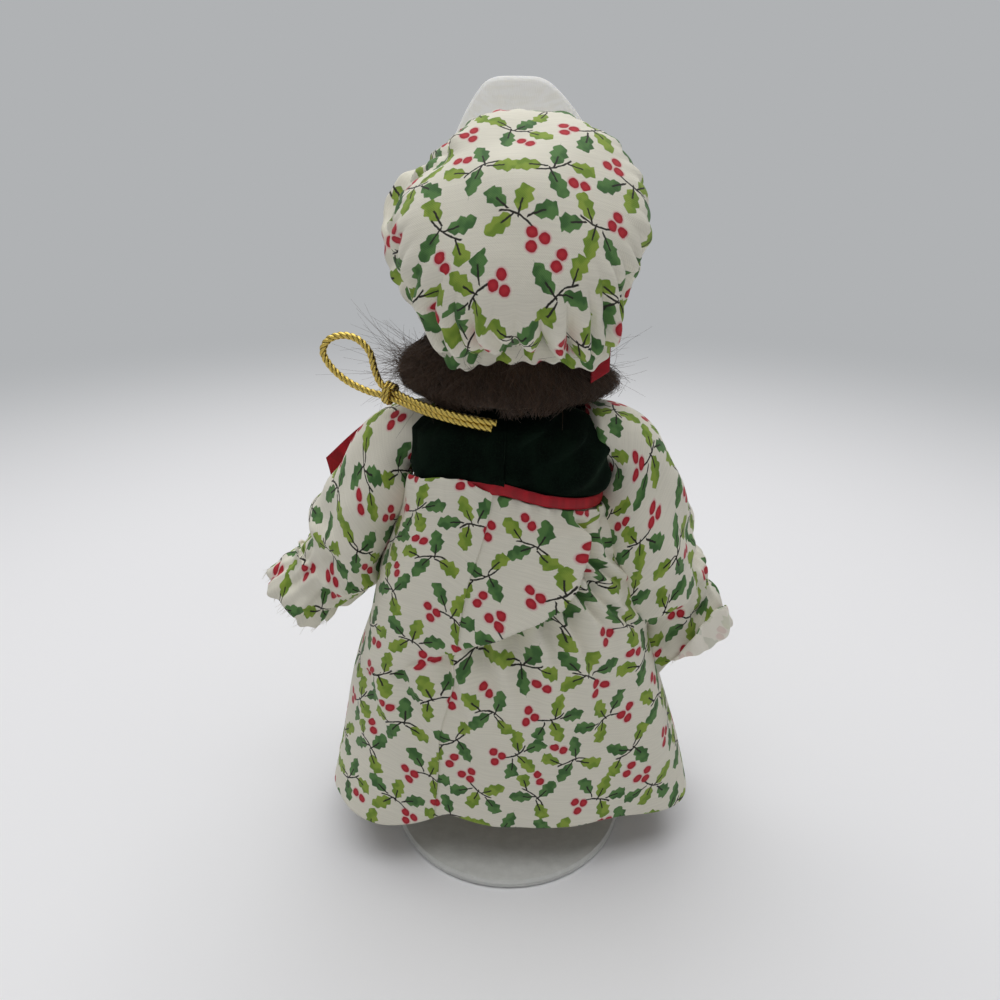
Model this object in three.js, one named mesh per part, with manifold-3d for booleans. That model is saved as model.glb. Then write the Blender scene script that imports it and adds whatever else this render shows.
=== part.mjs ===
import * as THREE from "three";
import { mergeVertices } from "three/addons/utils/BufferGeometryUtils.js";
import Module from "manifold-3d";

// Sizes in millimetres, angles in degrees. +Z is up, the doll faces -Y and its left side is on +X.

// Gap left between neighbouring pieces, and the weld distance of a surface.
const GAP = 0.3;
const WELD = 1e-4;

// Wall of the sewn cloth pieces.
const CLOTH = 0.8;

// Stand: a disc with a flared socket at its rim, and a bent wire that carries the doll.
const BASE_RADIUS = 25.4;
const BASE_THICKNESS = 1.8;
const BASE_EDGE = 0.5;
const SOCKET_AZIMUTH = 20;
const SOCKET_HEIGHT = 12;
const SOCKET_ROOT_RADIUS = 3.2;
const SOCKET_WALL = 0.9;
const WIRE_RADIUS = 0.9;
const WIRE_BEND = 5;
const SADDLE_HEIGHT = 46.5;
const SADDLE_REACH = 9.5;

// Stuffed torso.
const TORSO_LENGTH = 48.5;
const CHEST_HALF_WIDTH = 14.1;
const BODY_DEPTH_RATIO = 0.84;
const COLLAR_RADIUS = 7.9;
const COLLAR_HEIGHT = 1.7;
const NECK_THREAD_RADIUS = 0.5;

// Porcelain head with its flange neck.
const HEAD_HALF_WIDTH = 14.2;
const HEAD_HALF_DEPTH = 15;
const HEAD_HALF_HEIGHT = 17;
const HEAD_WALL = 2;
const CHIN_RISE = 6.3;
const NECK_RADIUS = 5.2;
const NECK_BORE_RADIUS = 3;
const NECK_EASE = 0.45;
const FLANGE_RADIUS = 7;
const FLANGE_THICKNESS = 1.8;
const FLANGE_DEPTH = 5;
const NOSE_LENGTH = 1.6;
const JAW_TAPER = 0.16;

// Wig.
const WIG_THICKNESS = 1.8;
const WIG_BOTTOM_RISE = 2.8;
const NAPE_FLARE_RADIUS = 14.8;
const LEFT_TUFT = 3.4;
const FACE_HALF_WIDTH = 10.6;
const FACE_DEPTH = 5;
const HAIRLINE_RISE = 11.5;

// Cap, in a frame tilted back from the head.
const CAP_TILT = 50;
const CAP_BACK = 1.5;
const CAP_SIDE = -0.6;
const CAP_RISE = 2;
const RING_EASE = 2.1;
const RING_SQUARENESS = 2.5;
const PUFF_SIDE = 2.5;
const PUFF_NAPE = 1.8;
const PUFF_LEVEL = 7;
const PUFF_HEIGHT = 18.5;
const PUFF_GATHER = 0.55;
const PUFF_GATHERS = 10;
const ELASTIC_RADIUS = 0.35;
const FRILL_THICKNESS = 0.6;
const FRILL_SIDE_WIDTH = 6.2;
const FRILL_NAPE_WIDTH = 3;
const FRILL_WAVE = 0.9;
const FRILL_WAVES = 13;
const BRIM_HALF_ANGLE = 33;
const BRIM_HEIGHT = 12.4;
const BRIM_EDGE_HEIGHT = 5.2;
const BRIM_RISE_ANGLE = 40;

// Red ribbons.
const RIBBON_THICKNESS = 0.5;
const RIBBON_WIDTH = 4.6;
const WAIST_RIBBON_WIDTH = 2.6;
const BOW_DROP = 4.8;
const BOW_KNOT_HALF_WIDTH = 2.2;
const BOW_KNOT_HALF_DEPTH = 1.6;
const BOW_LOOP_LENGTH = 10.6;
const BOW_LOOP_FULLNESS = 2.1;
const BOW_LEFT_TAIL_REACH = 36;
const BOW_LEFT_TAIL_DROP = 12;
const BOW_RIGHT_TAIL_DROP = 23;
const BOW_RIGHT_TAIL_REACH = 9;
const BOW_TAIL_STAND_OFF = 2.2;
const CAP_RIBBON_LENGTH = 18.5;

// Dress.
const BODICE_EASE = 0.45;
const BODICE_TOP_DROP = 2.1;
const BODICE_LENGTH = 13.5;
const BODICE_HEM_HALF_WIDTH = 17.2;
const BODICE_NECK_HALF_WIDTH = 11.8;
const SKIRT_LENGTH = 68.3;
const SKIRT_TOP_HALF_WIDTH = 17.6;
const SKIRT_TOP_HALF_DEPTH = 14.4;
const SKIRT_HEM_HALF_WIDTH = 38.5;
const SKIRT_HEM_HALF_DEPTH = 21;
const SKIRT_FLARE = 0.85;
const SKIRT_FOLD = 1.5;
const SKIRT_FOLDS = 7;

// Arms, each in a sleeve. A splay is the angle out from straight down.
const SHOULDER_DROP = 6.7;
const SHOULDER_BEND = 9;
const ARMHOLE_RADIUS = 5.3;
const SLEEVE_LENGTH = 27;
const SLEEVE_WALL = 0.6;
const LEFT_CUFF_LENGTH = 11.5;
const RIGHT_CUFF_LENGTH = 15;
const SLEEVE_HALF_WIDTH = 6.4;
const SLEEVE_HALF_DEPTH = 8.2;
const WRIST_HALF_WIDTH = 4.8;
const CUFF_HALF_WIDTH = 7.3;
const SLEEVE_FOLD = 0.35;
const SLEEVE_FOLDS = 7;
const LEFT_SPLAY = 27;
const LEFT_CUFF_SPLAY = 48;
const RIGHT_SPLAY = 20;
const RIGHT_CUFF_SPLAY = 20;
const UPPER_ARM_RADIUS = 3.7;
const FOREARM_RADIUS = 2.6;
const FOREARM_LENGTH = 22;
const WRIST_RADIUS = 1.9;
const HAND_HALF_WIDTH = 2.7;
const HAND_HALF_DEPTH = 1.3;

// Legs.
const HIP_SPACING = 14;
const HIP_RISE = 1;
const HIP_RADIUS = 4.6;
const HIP_EASE = 0.5;
const FOOT_RISE = 1.2;
const LOWER_LEG_LENGTH = 25;
const KNEE_RADIUS = 3.3;
const ANKLE_RADIUS = 2.6;
const BOOT_LENGTH = 9;
const BOOT_HALF_WIDTH = 2.9;

// Gold hanging cord: a doubled strand from the back of the neck, through a knot, and round its loop.
const CORD_RADIUS = 0.65;
const KNOT_LENGTH = 2.4;
const KNOT_WALL = 0.9;
// Points that it passes: out to the knot, round the loop, and from the knot back.
const CORD_OUT = [
  [3.2, 12.4, 92.9],
  [8.6, 11.8, 94],
  [15, 9, 95.1],
  [21.6, 4.4, 96.3],
];
const CORD_LOOP = [
  [25.5, 3.6, 97.4],
  [29.4, 3, 99.3],
  [32, 2.6, 101.8],
  [33, 2.4, 104.2],
  [32, 2.3, 106.1],
  [29.5, 2.4, 107],
  [26.8, 2.6, 106.4],
  [24.7, 3, 104.2],
  [23.9, 3.4, 101],
  [22.9, 3.7, 98.9],
];
const CORD_BACK = [
  [21.2, 4.2, 98.1],
  [14.5, 8.7, 97],
  [8, 11.5, 95.9],
  [2, 12, 94.7],
];

const wasm = await Module();
wasm.setup();

const material = (color, roughness, metalness = 0) =>
  new THREE.MeshStandardMaterial({ color, roughness, metalness });
const PORCELAIN = material(0xf2dccb, 0.25);
const MUSLIN = material(0xe6d9c3, 0.9);
const THREAD = material(0xd8d2c4, 0.8);
const PRINT = material(0xdfe0d2, 0.9);
const CREAM = material(0xe8dfca, 0.9);
const VELVET = material(0x121a16, 0.95);
const SATIN = material(0xb3172b, 0.4);
const FIBRE = material(0x4a3226, 0.9);
const GOLD = material(0xb08d3c, 0.35, 0.9);
const WHITE = material(0xe9e9e6, 0.35);

const radians = THREE.MathUtils.degToRad;
const lerp = THREE.MathUtils.lerp;
const smooth = THREE.MathUtils.smoothstep;

// One welded surface with its faces turned outwards.
function welded(geometry) {
  const bare = new THREE.BufferGeometry();
  bare.setAttribute("position", geometry.getAttribute("position").clone());
  if (geometry.index) {
    bare.setIndex(geometry.index.clone());
  }
  const merged = mergeVertices(bare, WELD);
  const point = merged.getAttribute("position");
  const corner = merged.index.array;
  const faces = [];
  let volume = 0;
  for (let i = 0; i < corner.length; i += 3) {
    const [p, q, r] = [corner[i], corner[i + 1], corner[i + 2]];
    if (p === q || q === r || r === p) {
      continue;
    }
    const a = new THREE.Vector3().fromBufferAttribute(point, p);
    const b = new THREE.Vector3().fromBufferAttribute(point, q);
    const c = new THREE.Vector3().fromBufferAttribute(point, r);
    volume += a.dot(b.cross(c));
    faces.push([p, q, r]);
  }
  merged.setIndex(faces.flatMap(([p, q, r]) => (volume < 0 ? [p, r, q] : [p, q, r])));
  return merged;
}

// A welded surface as a solid for joining and cutting, and back.
function solid(geometry) {
  return new wasm.Manifold(
    new wasm.Mesh({
      numProp: 3,
      vertProperties: new Float32Array(geometry.getAttribute("position").array),
      triVerts: new Uint32Array(geometry.index.array),
    }),
  );
}

function surfaceOf(body) {
  const mesh = body.getMesh();
  const geometry = new THREE.BufferGeometry();
  geometry.setAttribute("position", new THREE.BufferAttribute(new Float32Array(mesh.vertProperties), 3));
  geometry.setIndex(new THREE.BufferAttribute(new Uint32Array(mesh.triVerts), 1));
  return geometry;
}

// Moves each point of a geometry to shape(angle about Z, radius, height).
function reshaped(geometry, shape) {
  const point = geometry.getAttribute("position");
  for (let i = 0; i < point.count; i += 1) {
    const x = point.getX(i);
    const y = point.getY(i);
    point.setXYZ(i, ...shape(Math.atan2(y, x), Math.hypot(x, y), point.getZ(i)));
  }
  return geometry;
}

// A closed [radius, height] outline turned about Z and reshaped.
function turned(outline, sides, shape = (angle, r, z) => [r * Math.cos(angle), r * Math.sin(angle), z]) {
  const points = outline.map(([r, z]) => new THREE.Vector2(r, z));
  const lathe = new THREE.LatheGeometry(points, sides).rotateX(Math.PI / 2);
  return welded(reshaped(lathe, shape));
}

// The outline of a round thread lying in a ring.
function threadOutline(ring, thread, height) {
  return Array.from({ length: 7 }, (_, i) => {
    const angle = (i / 6) * 2 * Math.PI;
    return [ring + thread * Math.cos(angle), height + thread * Math.sin(angle)];
  });
}

// How far a squared ellipse reaches in a direction, against a circle of radius 1.
function squared(angle, power) {
  return (Math.abs(Math.cos(angle)) ** power + Math.abs(Math.sin(angle)) ** power) ** (-1 / power);
}

// Straight-line lookup in a list of [position, value, ...].
function keyed(keys, position, column = 1) {
  const next = Math.max(1, keys.findIndex((key) => key[0] >= position));
  const last = position >= keys.at(-1)[0];
  const [a, b] = last ? [keys.at(-2), keys.at(-1)] : [keys[next - 1], keys[next]];
  return lerp(a[column], b[column], last ? 1 : (position - a[0]) / (b[0] - a[0]));
}

// A closed surface over rings of points. Looped rings join last to first, others are capped at both ends.
function skinned(rings, looped) {
  const sides = rings[0].length;
  const points = rings.flat();
  const index = [];
  const bands = looped ? rings.length : rings.length - 1;
  for (let j = 0; j < bands; j += 1) {
    const above = ((j + 1) % rings.length) * sides;
    for (let i = 0; i < sides; i += 1) {
      const next = (i + 1) % sides;
      index.push(j * sides + i, j * sides + next, above + next);
      index.push(j * sides + i, above + next, above + i);
    }
  }
  if (!looped) {
    for (const end of [0, rings.length - 1]) {
      const middle = new THREE.Vector3();
      rings[end].forEach((p) => middle.addScaledVector(p, 1 / sides));
      points.push(middle);
      for (let i = 0; i < sides; i += 1) {
        const here = end * sides + i;
        const next = end * sides + ((i + 1) % sides);
        index.push(...(end === 0 ? [next, here] : [here, next]), points.length - 1);
      }
    }
  }
  return welded(new THREE.BufferGeometry().setFromPoints(points).setIndex(index));
}

// Rings round a flat curve. Side is the normal of its plane, and reach gives [in the plane, along side].
function ringsAlong(curve, side, places, sides, reach) {
  return places.map((place) => {
    const centre = curve.getPointAt(place);
    const inward = new THREE.Vector3().crossVectors(side, curve.getTangentAt(place)).normalize();
    return Array.from({ length: sides }, (_, i) => {
      const angle = (i / sides) * 2 * Math.PI;
      const [flat, deep] = reach(place, angle);
      return centre
        .clone()
        .addScaledVector(inward, flat * Math.cos(angle))
        .addScaledVector(side, deep * Math.sin(angle));
    });
  });
}

// A sheet over place(u, v), thickened equally on both sides.
function sheet(place, columns, rows, thickness) {
  const step = 1e-3;
  const points = [];
  for (const offset of [thickness / 2, -thickness / 2]) {
    for (let j = 0; j <= rows; j += 1) {
      for (let i = 0; i <= columns; i += 1) {
        const [u, v] = [i / columns, j / rows];
        const alongU = place(u + step, v).sub(place(u - step, v));
        const alongV = place(u, v + step).sub(place(u, v - step));
        points.push(place(u, v).addScaledVector(alongU.cross(alongV).normalize(), offset));
      }
    }
  }
  const width = columns + 1;
  const under = width * (rows + 1);
  const index = [];
  const edge = [];
  for (let j = 0; j < rows; j += 1) {
    for (let i = 0; i < columns; i += 1) {
      const a = j * width + i;
      const [b, c, d] = [a + 1, a + width + 1, a + width];
      index.push(a, b, c, a, c, d);
      index.push(under + a, under + c, under + b, under + a, under + d, under + c);
    }
  }
  for (let i = 0; i < columns; i += 1) {
    edge.push([i, i + 1], [rows * width + i + 1, rows * width + i]);
  }
  for (let j = 0; j < rows; j += 1) {
    edge.push([j * width + columns, (j + 1) * width + columns], [(j + 1) * width, j * width]);
  }
  for (const [p, q] of edge) {
    index.push(q, p, under + p, q, under + p, under + q);
  }
  return welded(new THREE.BufferGeometry().setFromPoints(points).setIndex(index));
}

// A ribbon along a curve, its width across the curve and square to facing. Slant cuts its far end.
function ribbon(curve, facing, width, steps, slant) {
  const place = (u, v) => {
    const along = THREE.MathUtils.clamp(u * (1 - slant * v), 0, 1);
    const across = new THREE.Vector3().crossVectors(curve.getTangentAt(along), facing).normalize();
    return curve.getPointAt(along).addScaledVector(across, width * (v - 0.5));
  };
  return sheet(place, steps, 2, RIBBON_THICKNESS);
}

// A round rod along a curve.
function rod(curve, radius, steps, sides) {
  const corners = Array.from({ length: sides }, (_, i) => {
    const angle = (i / sides) * 2 * Math.PI;
    return new THREE.Vector2(radius * Math.cos(angle), radius * Math.sin(angle));
  });
  const options = { extrudePath: curve, steps, bevelEnabled: false };
  return welded(new THREE.ExtrudeGeometry(new THREE.Shape(corners), options));
}

const vector = (x, y, z) => new THREE.Vector3(x, y, z);
const doll = new THREE.Group();

function add(parent, name, geometry, surface) {
  const mesh = new THREE.Mesh(geometry, surface);
  mesh.name = name;
  parent.add(mesh);
}

// Levels that several pieces share.
const torsoBottom = SADDLE_HEIGHT + WIRE_RADIUS + GAP;
const torsoTop = torsoBottom + TORSO_LENGTH;
const headLevel = torsoTop + CHIN_RISE + HEAD_HALF_HEIGHT;
const bodiceTop = torsoTop - BODICE_TOP_DROP;
const bodiceBottom = bodiceTop - BODICE_LENGTH;
const shoulderLevel = torsoTop - SHOULDER_DROP;
const hipLevel = torsoBottom + HIP_RISE;
const bodiceChest = CHEST_HALF_WIDTH + BODICE_EASE + CLOTH;

// Stand.
const socketOut = BASE_RADIUS - SOCKET_ROOT_RADIUS;
const socketX = socketOut * Math.cos(radians(SOCKET_AZIMUTH));
const socketY = socketOut * Math.sin(radians(SOCKET_AZIMUTH));
const socketTop = BASE_THICKNESS + SOCKET_HEIGHT;
const socketBore = WIRE_RADIUS + GAP;
const disc = turned(
  [
    [0, 0],
    [BASE_RADIUS - BASE_EDGE, 0],
    [BASE_RADIUS, BASE_EDGE],
    [BASE_RADIUS, BASE_THICKNESS - BASE_EDGE],
    [BASE_RADIUS - BASE_EDGE, BASE_THICKNESS],
    [0, BASE_THICKNESS],
  ],
  48,
);
const socketSide = Array.from({ length: 7 }, (_, i) => {
  const rise = i / 6;
  const tip = socketBore + SOCKET_WALL;
  const radius = tip + (SOCKET_ROOT_RADIUS - BASE_EDGE - tip) * (1 - rise) ** 3;
  return [radius, lerp(BASE_THICKNESS, socketTop, rise)];
});
const socket = turned([[0, BASE_EDGE], [socketSide[0][0], BASE_EDGE], ...socketSide, [0, socketTop]], 16);
const bore = turned(
  [
    [0, BASE_THICKNESS],
    [socketBore, BASE_THICKNESS],
    [socketBore, socketTop + 1],
    [0, socketTop + 1],
  ],
  12,
);
const base = solid(disc)
  .add(solid(socket).translate([socketX, socketY, 0]))
  .subtract(solid(bore).translate([socketX, socketY, 0]));
add(doll, "stand_base", surfaceOf(base), WHITE);

const wirePath = new THREE.CurvePath();
const wireCorners = [
  vector(socketX, socketY, BASE_THICKNESS + GAP),
  vector(socketX, socketY, SADDLE_HEIGHT),
  vector(0, socketY, SADDLE_HEIGHT),
  vector(0, -SADDLE_REACH, SADDLE_HEIGHT),
  vector(0, -SADDLE_REACH, SADDLE_HEIGHT + WIRE_BEND),
];
let wireStart = wireCorners[0];
for (let i = 1; i < wireCorners.length - 1; i += 1) {
  const corner = wireCorners[i];
  const before = corner.clone().add(wireCorners[i - 1].clone().sub(corner).setLength(WIRE_BEND));
  const after = corner.clone().add(wireCorners[i + 1].clone().sub(corner).setLength(WIRE_BEND));
  wirePath.add(new THREE.LineCurve3(wireStart, before));
  wirePath.add(new THREE.QuadraticBezierCurve3(before, corner, after));
  wireStart = after;
}
add(doll, "stand_wire", rod(wirePath, WIRE_RADIUS, 36, 8), WHITE);

// Torso: a stuffed bag that is closed round the flange of the neck and hollowed where each leg is sewn on.
const collarShare = COLLAR_HEIGHT / TORSO_LENGTH;
const TORSO_OUTLINE = [
  [0, 0],
  [0.014, 0.36],
  [0.055, 0.62],
  [0.13, 0.8],
  [0.3, 0.9],
  [0.5, 0.93],
  [0.7, 0.97],
  [0.84, 1],
  [0.91, 0.93],
  [0.945, 0.8],
];
const torsoSide = TORSO_OUTLINE.map(([rise, share]) => [
  share * CHEST_HALF_WIDTH,
  torsoBottom + rise * TORSO_LENGTH,
]);
torsoSide.push([COLLAR_RADIUS, torsoTop - collarShare * TORSO_LENGTH]);
torsoSide.push([COLLAR_RADIUS, torsoTop], [0, torsoTop]);
const oval = (angle, r, z) => [r * Math.cos(angle), r * Math.sin(angle) * BODY_DEPTH_RATIO, z];
const flangeTop = torsoTop - FLANGE_DEPTH;
const flangeBottom = flangeTop - FLANGE_THICKNESS;
const neckHole = turned(
  [
    [0, flangeBottom - GAP],
    [FLANGE_RADIUS + NECK_EASE, flangeBottom - GAP],
    [FLANGE_RADIUS + NECK_EASE, flangeTop + GAP],
    [NECK_RADIUS + NECK_EASE, flangeTop + GAP],
    [NECK_RADIUS + NECK_EASE, torsoTop + 1],
    [0, torsoTop + 1],
  ],
  16,
);
const hipHole = solid(welded(new THREE.SphereGeometry(HIP_RADIUS + HIP_EASE, 14, 10).rotateX(Math.PI / 2)));
const torso = solid(turned(torsoSide, 20, oval))
  .subtract(solid(neckHole))
  .subtract(hipHole.translate([HIP_SPACING / 2, 0, hipLevel]))
  .subtract(hipHole.translate([-HIP_SPACING / 2, 0, hipLevel]));
add(doll, "body_torso", surfaceOf(torso), MUSLIN);
const neckThread = threadOutline(
  COLLAR_RADIUS + GAP + NECK_THREAD_RADIUS,
  NECK_THREAD_RADIUS,
  torsoTop - COLLAR_HEIGHT / 2,
);
add(doll, "neck_thread", turned(neckThread, 20, oval), THREAD);

// Head: a hollow casting, open down through its neck.
function headSkin(growth, hollow) {
  const sphere = new THREE.SphereGeometry(1, hollow ? 14 : 24, hollow ? 10 : 16).rotateX(Math.PI / 2);
  const point = sphere.getAttribute("position");
  for (let i = 0; i < point.count; i += 1) {
    const [x, y, z] = [point.getX(i), point.getY(i), point.getZ(i)];
    const jaw = 1 - JAW_TAPER * smooth(-z, 0.1, 0.9);
    const nose = y < 0 ? Math.exp(-((x / 0.13) ** 2) - ((z + 0.19) / 0.15) ** 2) : 0;
    const front = hollow ? 0 : NOSE_LENGTH * nose;
    point.setXYZ(
      i,
      x * (HEAD_HALF_WIDTH + growth) * jaw,
      y * (HEAD_HALF_DEPTH + growth) - front,
      z * (HEAD_HALF_HEIGHT + growth) + headLevel,
    );
  }
  return solid(welded(sphere));
}
const neck = turned(
  [
    [0, flangeBottom],
    [FLANGE_RADIUS, flangeBottom],
    [FLANGE_RADIUS, flangeTop],
    [NECK_RADIUS, flangeTop],
    [NECK_RADIUS, headLevel - HEAD_HALF_HEIGHT / 2],
    [0, headLevel - HEAD_HALF_HEIGHT / 2],
  ],
  16,
);
const neckBore = turned(
  [
    [0, flangeBottom - 1],
    [NECK_BORE_RADIUS, flangeBottom - 1],
    [NECK_BORE_RADIUS, headLevel],
    [0, headLevel],
  ],
  12,
);
const head = headSkin(0, false)
  .add(solid(neck))
  .subtract(headSkin(-HEAD_WALL, true))
  .subtract(solid(neckBore));
add(doll, "head", surfaceOf(head), PORCELAIN);

// Wig: a cap of fibre over the skull that fans out below the nape, cut away round the face.
const wigBottom = torsoTop + WIG_BOTTOM_RISE;
const skullWidth = HEAD_HALF_WIDTH + WIG_THICKNESS;
const skullHeight = HEAD_HALF_HEIGHT + WIG_THICKNESS;
const napeLevel = wigBottom + 3.6;
const napeAngle = Math.asin((napeLevel + 2.8 - headLevel) / skullHeight);
const wigSide = [
  [0, wigBottom],
  [NAPE_FLARE_RADIUS - 1, wigBottom],
  [NAPE_FLARE_RADIUS, wigBottom + 1.3],
  [NAPE_FLARE_RADIUS - 1, wigBottom + 2.3],
  [skullWidth * Math.cos(napeAngle) + 0.4, napeLevel + 0.4],
];
for (let i = 0; i <= 8; i += 1) {
  const angle = lerp(napeAngle, Math.PI / 2, i / 8);
  wigSide.push([i === 8 ? 0 : skullWidth * Math.cos(angle), headLevel + skullHeight * Math.sin(angle)]);
}
const wigDepth = (HEAD_HALF_DEPTH + WIG_THICKNESS) / skullWidth;
const wigShape = (angle, r, z) => {
  const tuft = LEFT_TUFT * Math.max(0, Math.cos(angle)) ** 2 * (1 - smooth(z, wigBottom + 1, napeLevel));
  const out = r === 0 ? 0 : r + tuft;
  return [out * Math.cos(angle), r * Math.sin(angle) * wigDepth, z];
};
const faceHeight = headLevel + HAIRLINE_RISE - wigBottom + 2;
const face = welded(new THREE.BoxGeometry(2 * FACE_HALF_WIDTH, 2 * HEAD_HALF_DEPTH, faceHeight));
const neckGap = solid(
  turned(
    [
      [0, wigBottom - 1],
      [NECK_RADIUS + GAP, wigBottom - 1],
      [NECK_RADIUS + GAP, headLevel],
      [0, headLevel],
    ],
    16,
  ),
);
const wig = solid(turned(wigSide, 22, wigShape))
  .subtract(headSkin(GAP, false))
  .subtract(neckGap)
  .subtract(solid(face).translate([0, -HEAD_HALF_DEPTH - FACE_DEPTH, wigBottom - 2 + faceHeight / 2]));
add(doll, "wig", surfaceOf(wig), FIBRE);

// Cap: its local Z points back and up out of the gathered ring, and its local +Y points to the nape.
const cap = new THREE.Group();
cap.position.set(CAP_SIDE, CAP_BACK, headLevel + CAP_RISE);
cap.rotation.x = -radians(CAP_TILT);
doll.add(cap);
const ringWidth = skullWidth + RING_EASE;
const ringLength = skullHeight + RING_EASE / 2;
const ringShape = (angle, r, z) => {
  const share = r / ringWidth;
  const reach = squared(angle, RING_SQUARENESS);
  return [share * ringWidth * reach * Math.cos(angle), share * ringLength * reach * Math.sin(angle), z];
};
const ringEdge = CLOTH / 2;
const puffWidth = ringWidth + PUFF_SIDE;
const puffLength = ringLength + PUFF_NAPE;
// One layer of the puff, from the gathered ring to the crown.
function puffLayer(inset) {
  const layer = [];
  for (let i = 0; i <= 8; i += 1) {
    const low = i < 4;
    const angle = low ? (i / 4) * (Math.PI / 2) : ((i - 4) / 4) * (Math.PI / 2);
    const wide = puffWidth - inset;
    const edge = ringEdge + inset;
    layer.push(
      low
        ? [lerp(ringWidth, wide, Math.sin(angle)), lerp(edge, PUFF_LEVEL, 1 - Math.cos(angle))]
        : [i === 8 ? 0 : wide * Math.cos(angle), lerp(PUFF_LEVEL, PUFF_HEIGHT - inset, Math.sin(angle))],
    );
  }
  return layer;
}
const crownShape = (angle, r, z) => {
  if (r === 0) {
    return [0, 0, z];
  }
  const level = smooth(z, ringEdge, PUFF_LEVEL);
  const length = lerp(ringLength / ringWidth, puffLength / puffWidth, level);
  const gather = PUFF_GATHER * Math.cos(PUFF_GATHERS * angle) * (1 - 0.75 * level) * smooth(r, 0, ringWidth);
  const reach = squared(angle, lerp(RING_SQUARENESS, 2.1, level));
  const out = r * reach + gather * smooth(z, ringEdge, ringEdge + 2);
  return [out * Math.cos(angle), out * length * Math.sin(angle), z];
};
const crownOutline = [...puffLayer(0), ...puffLayer(CLOTH).reverse()];
crownOutline.push(crownOutline[0]);
add(cap, "cap_crown", turned(crownOutline, 40, crownShape), PRINT);
const capElastic = threadOutline(ringWidth - 1.6 * GAP - ELASTIC_RADIUS, ELASTIC_RADIUS, ringEdge + CLOTH / 2);
add(cap, "cap_elastic", turned(capElastic, 24, ringShape), THREAD);

// The frill and the brim grow out of the ring. Turn is the angle from the front of the ring, 180 at the nape.
const frillLevel = ringEdge - GAP - FRILL_THICKNESS / 2;
function ringEdgePlace(turn, out, rise) {
  const angle = radians(turn - 90);
  const reach = squared(angle, RING_SQUARENESS);
  return vector(
    (ringWidth * reach + out) * Math.cos(angle),
    (ringLength * reach + out) * Math.sin(angle),
    frillLevel + rise,
  );
}
const frillStart = BRIM_HALF_ANGLE + 1.5;
const frillPlace = (u, v) => {
  const turn = lerp(frillStart, 360 - frillStart, u);
  const toNape = smooth(180 - Math.abs(turn - 180), 70, 165);
  const width = lerp(FRILL_SIDE_WIDTH, FRILL_NAPE_WIDTH, toNape) * v;
  const fall = radians(lerp(-20, -48, toNape));
  const wave = FRILL_WAVE * v * lerp(1, 0.4, toNape) * Math.cos(FRILL_WAVES * radians(turn));
  return ringEdgePlace(turn, width * Math.cos(fall), width * Math.sin(fall) + wave);
};
add(cap, "cap_frill", sheet(frillPlace, 52, 3, FRILL_THICKNESS), PRINT);
const brimPlace = (u, v) => {
  const turn = lerp(-BRIM_HALF_ANGLE, BRIM_HALF_ANGLE, u);
  const top = smooth(1 - Math.abs(2 * u - 1), 0, 0.72);
  const width = lerp(BRIM_EDGE_HEIGHT, BRIM_HEIGHT, top) * v;
  const rise = radians(BRIM_RISE_ANGLE);
  return ringEdgePlace(turn, width * Math.cos(rise), width * Math.sin(rise) * v);
};
add(cap, "cap_brim", sheet(brimPlace, 14, 3, FRILL_THICKNESS), CREAM);

const ribbonTop = headLevel - 2.6;
const ribbonOut = skullWidth + RIBBON_THICKNESS + GAP;
const capRibbonPath = new THREE.CatmullRomCurve3([
  vector(-ribbonOut, 4, ribbonTop),
  vector(-ribbonOut, 2.8, ribbonTop - CAP_RIBBON_LENGTH / 2),
  vector(-ribbonOut + 0.4, 1.4, ribbonTop - CAP_RIBBON_LENGTH),
]);
add(doll, "cap_ribbon", ribbon(capRibbonPath, vector(1, 0, 0), 3.6, 8, 0.12), SATIN);

// Bodice: a fitted shell with a hole for each arm. In its outline a radius above 1 marks the outer layer.
const BODICE_OUTLINE = [
  [0, BODICE_HEM_HALF_WIDTH],
  [0.12, lerp(BODICE_HEM_HALF_WIDTH, bodiceChest, 0.6)],
  [0.24, bodiceChest],
  [0.75, bodiceChest],
  [0.88, lerp(bodiceChest, BODICE_NECK_HALF_WIDTH, 0.35)],
  [1, BODICE_NECK_HALF_WIDTH],
];
const bodiceWidth = (z) => keyed(BODICE_OUTLINE, (z - bodiceBottom) / BODICE_LENGTH);
const bodiceLevels = BODICE_OUTLINE.map(([rise]) => bodiceBottom + rise * BODICE_LENGTH);
const bodiceLayers = [...bodiceLevels.map((z) => [2, z]), ...bodiceLevels.map((z) => [1, z]).reverse()];
bodiceLayers.push(bodiceLayers[0]);
const bodiceShape = (angle, r, z) => {
  const half = bodiceWidth(z) - (r > 1.5 ? 0 : CLOTH);
  return [half * Math.cos(angle), half * Math.sin(angle) * BODY_DEPTH_RATIO, z];
};
const armhole = solid(
  welded(
    new THREE.CylinderGeometry(ARMHOLE_RADIUS - 0.6, ARMHOLE_RADIUS - 0.6, 60, 16).rotateZ(Math.PI / 2),
  ),
);
const bodice = solid(turned(bodiceLayers, 28, bodiceShape)).subtract(armhole.translate([0, 0, shoulderLevel]));
add(doll, "bodice", surfaceOf(bodice), VELVET);
const waistOuter = BODICE_HEM_HALF_WIDTH + GAP + RIBBON_THICKNESS;
const waistLevels = [0, 0.5, 1].map((share) => bodiceBottom + share * WAIST_RIBBON_WIDTH);
const waistOutline = [
  ...waistLevels.map((z) => [bodiceWidth(z) + GAP + RIBBON_THICKNESS, z]),
  ...waistLevels.map((z) => [bodiceWidth(z) + GAP, z]).reverse(),
];
waistOutline.push(waistOutline[0]);
add(doll, "waist_ribbon", turned(waistOutline, 28, oval), SATIN);

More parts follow.
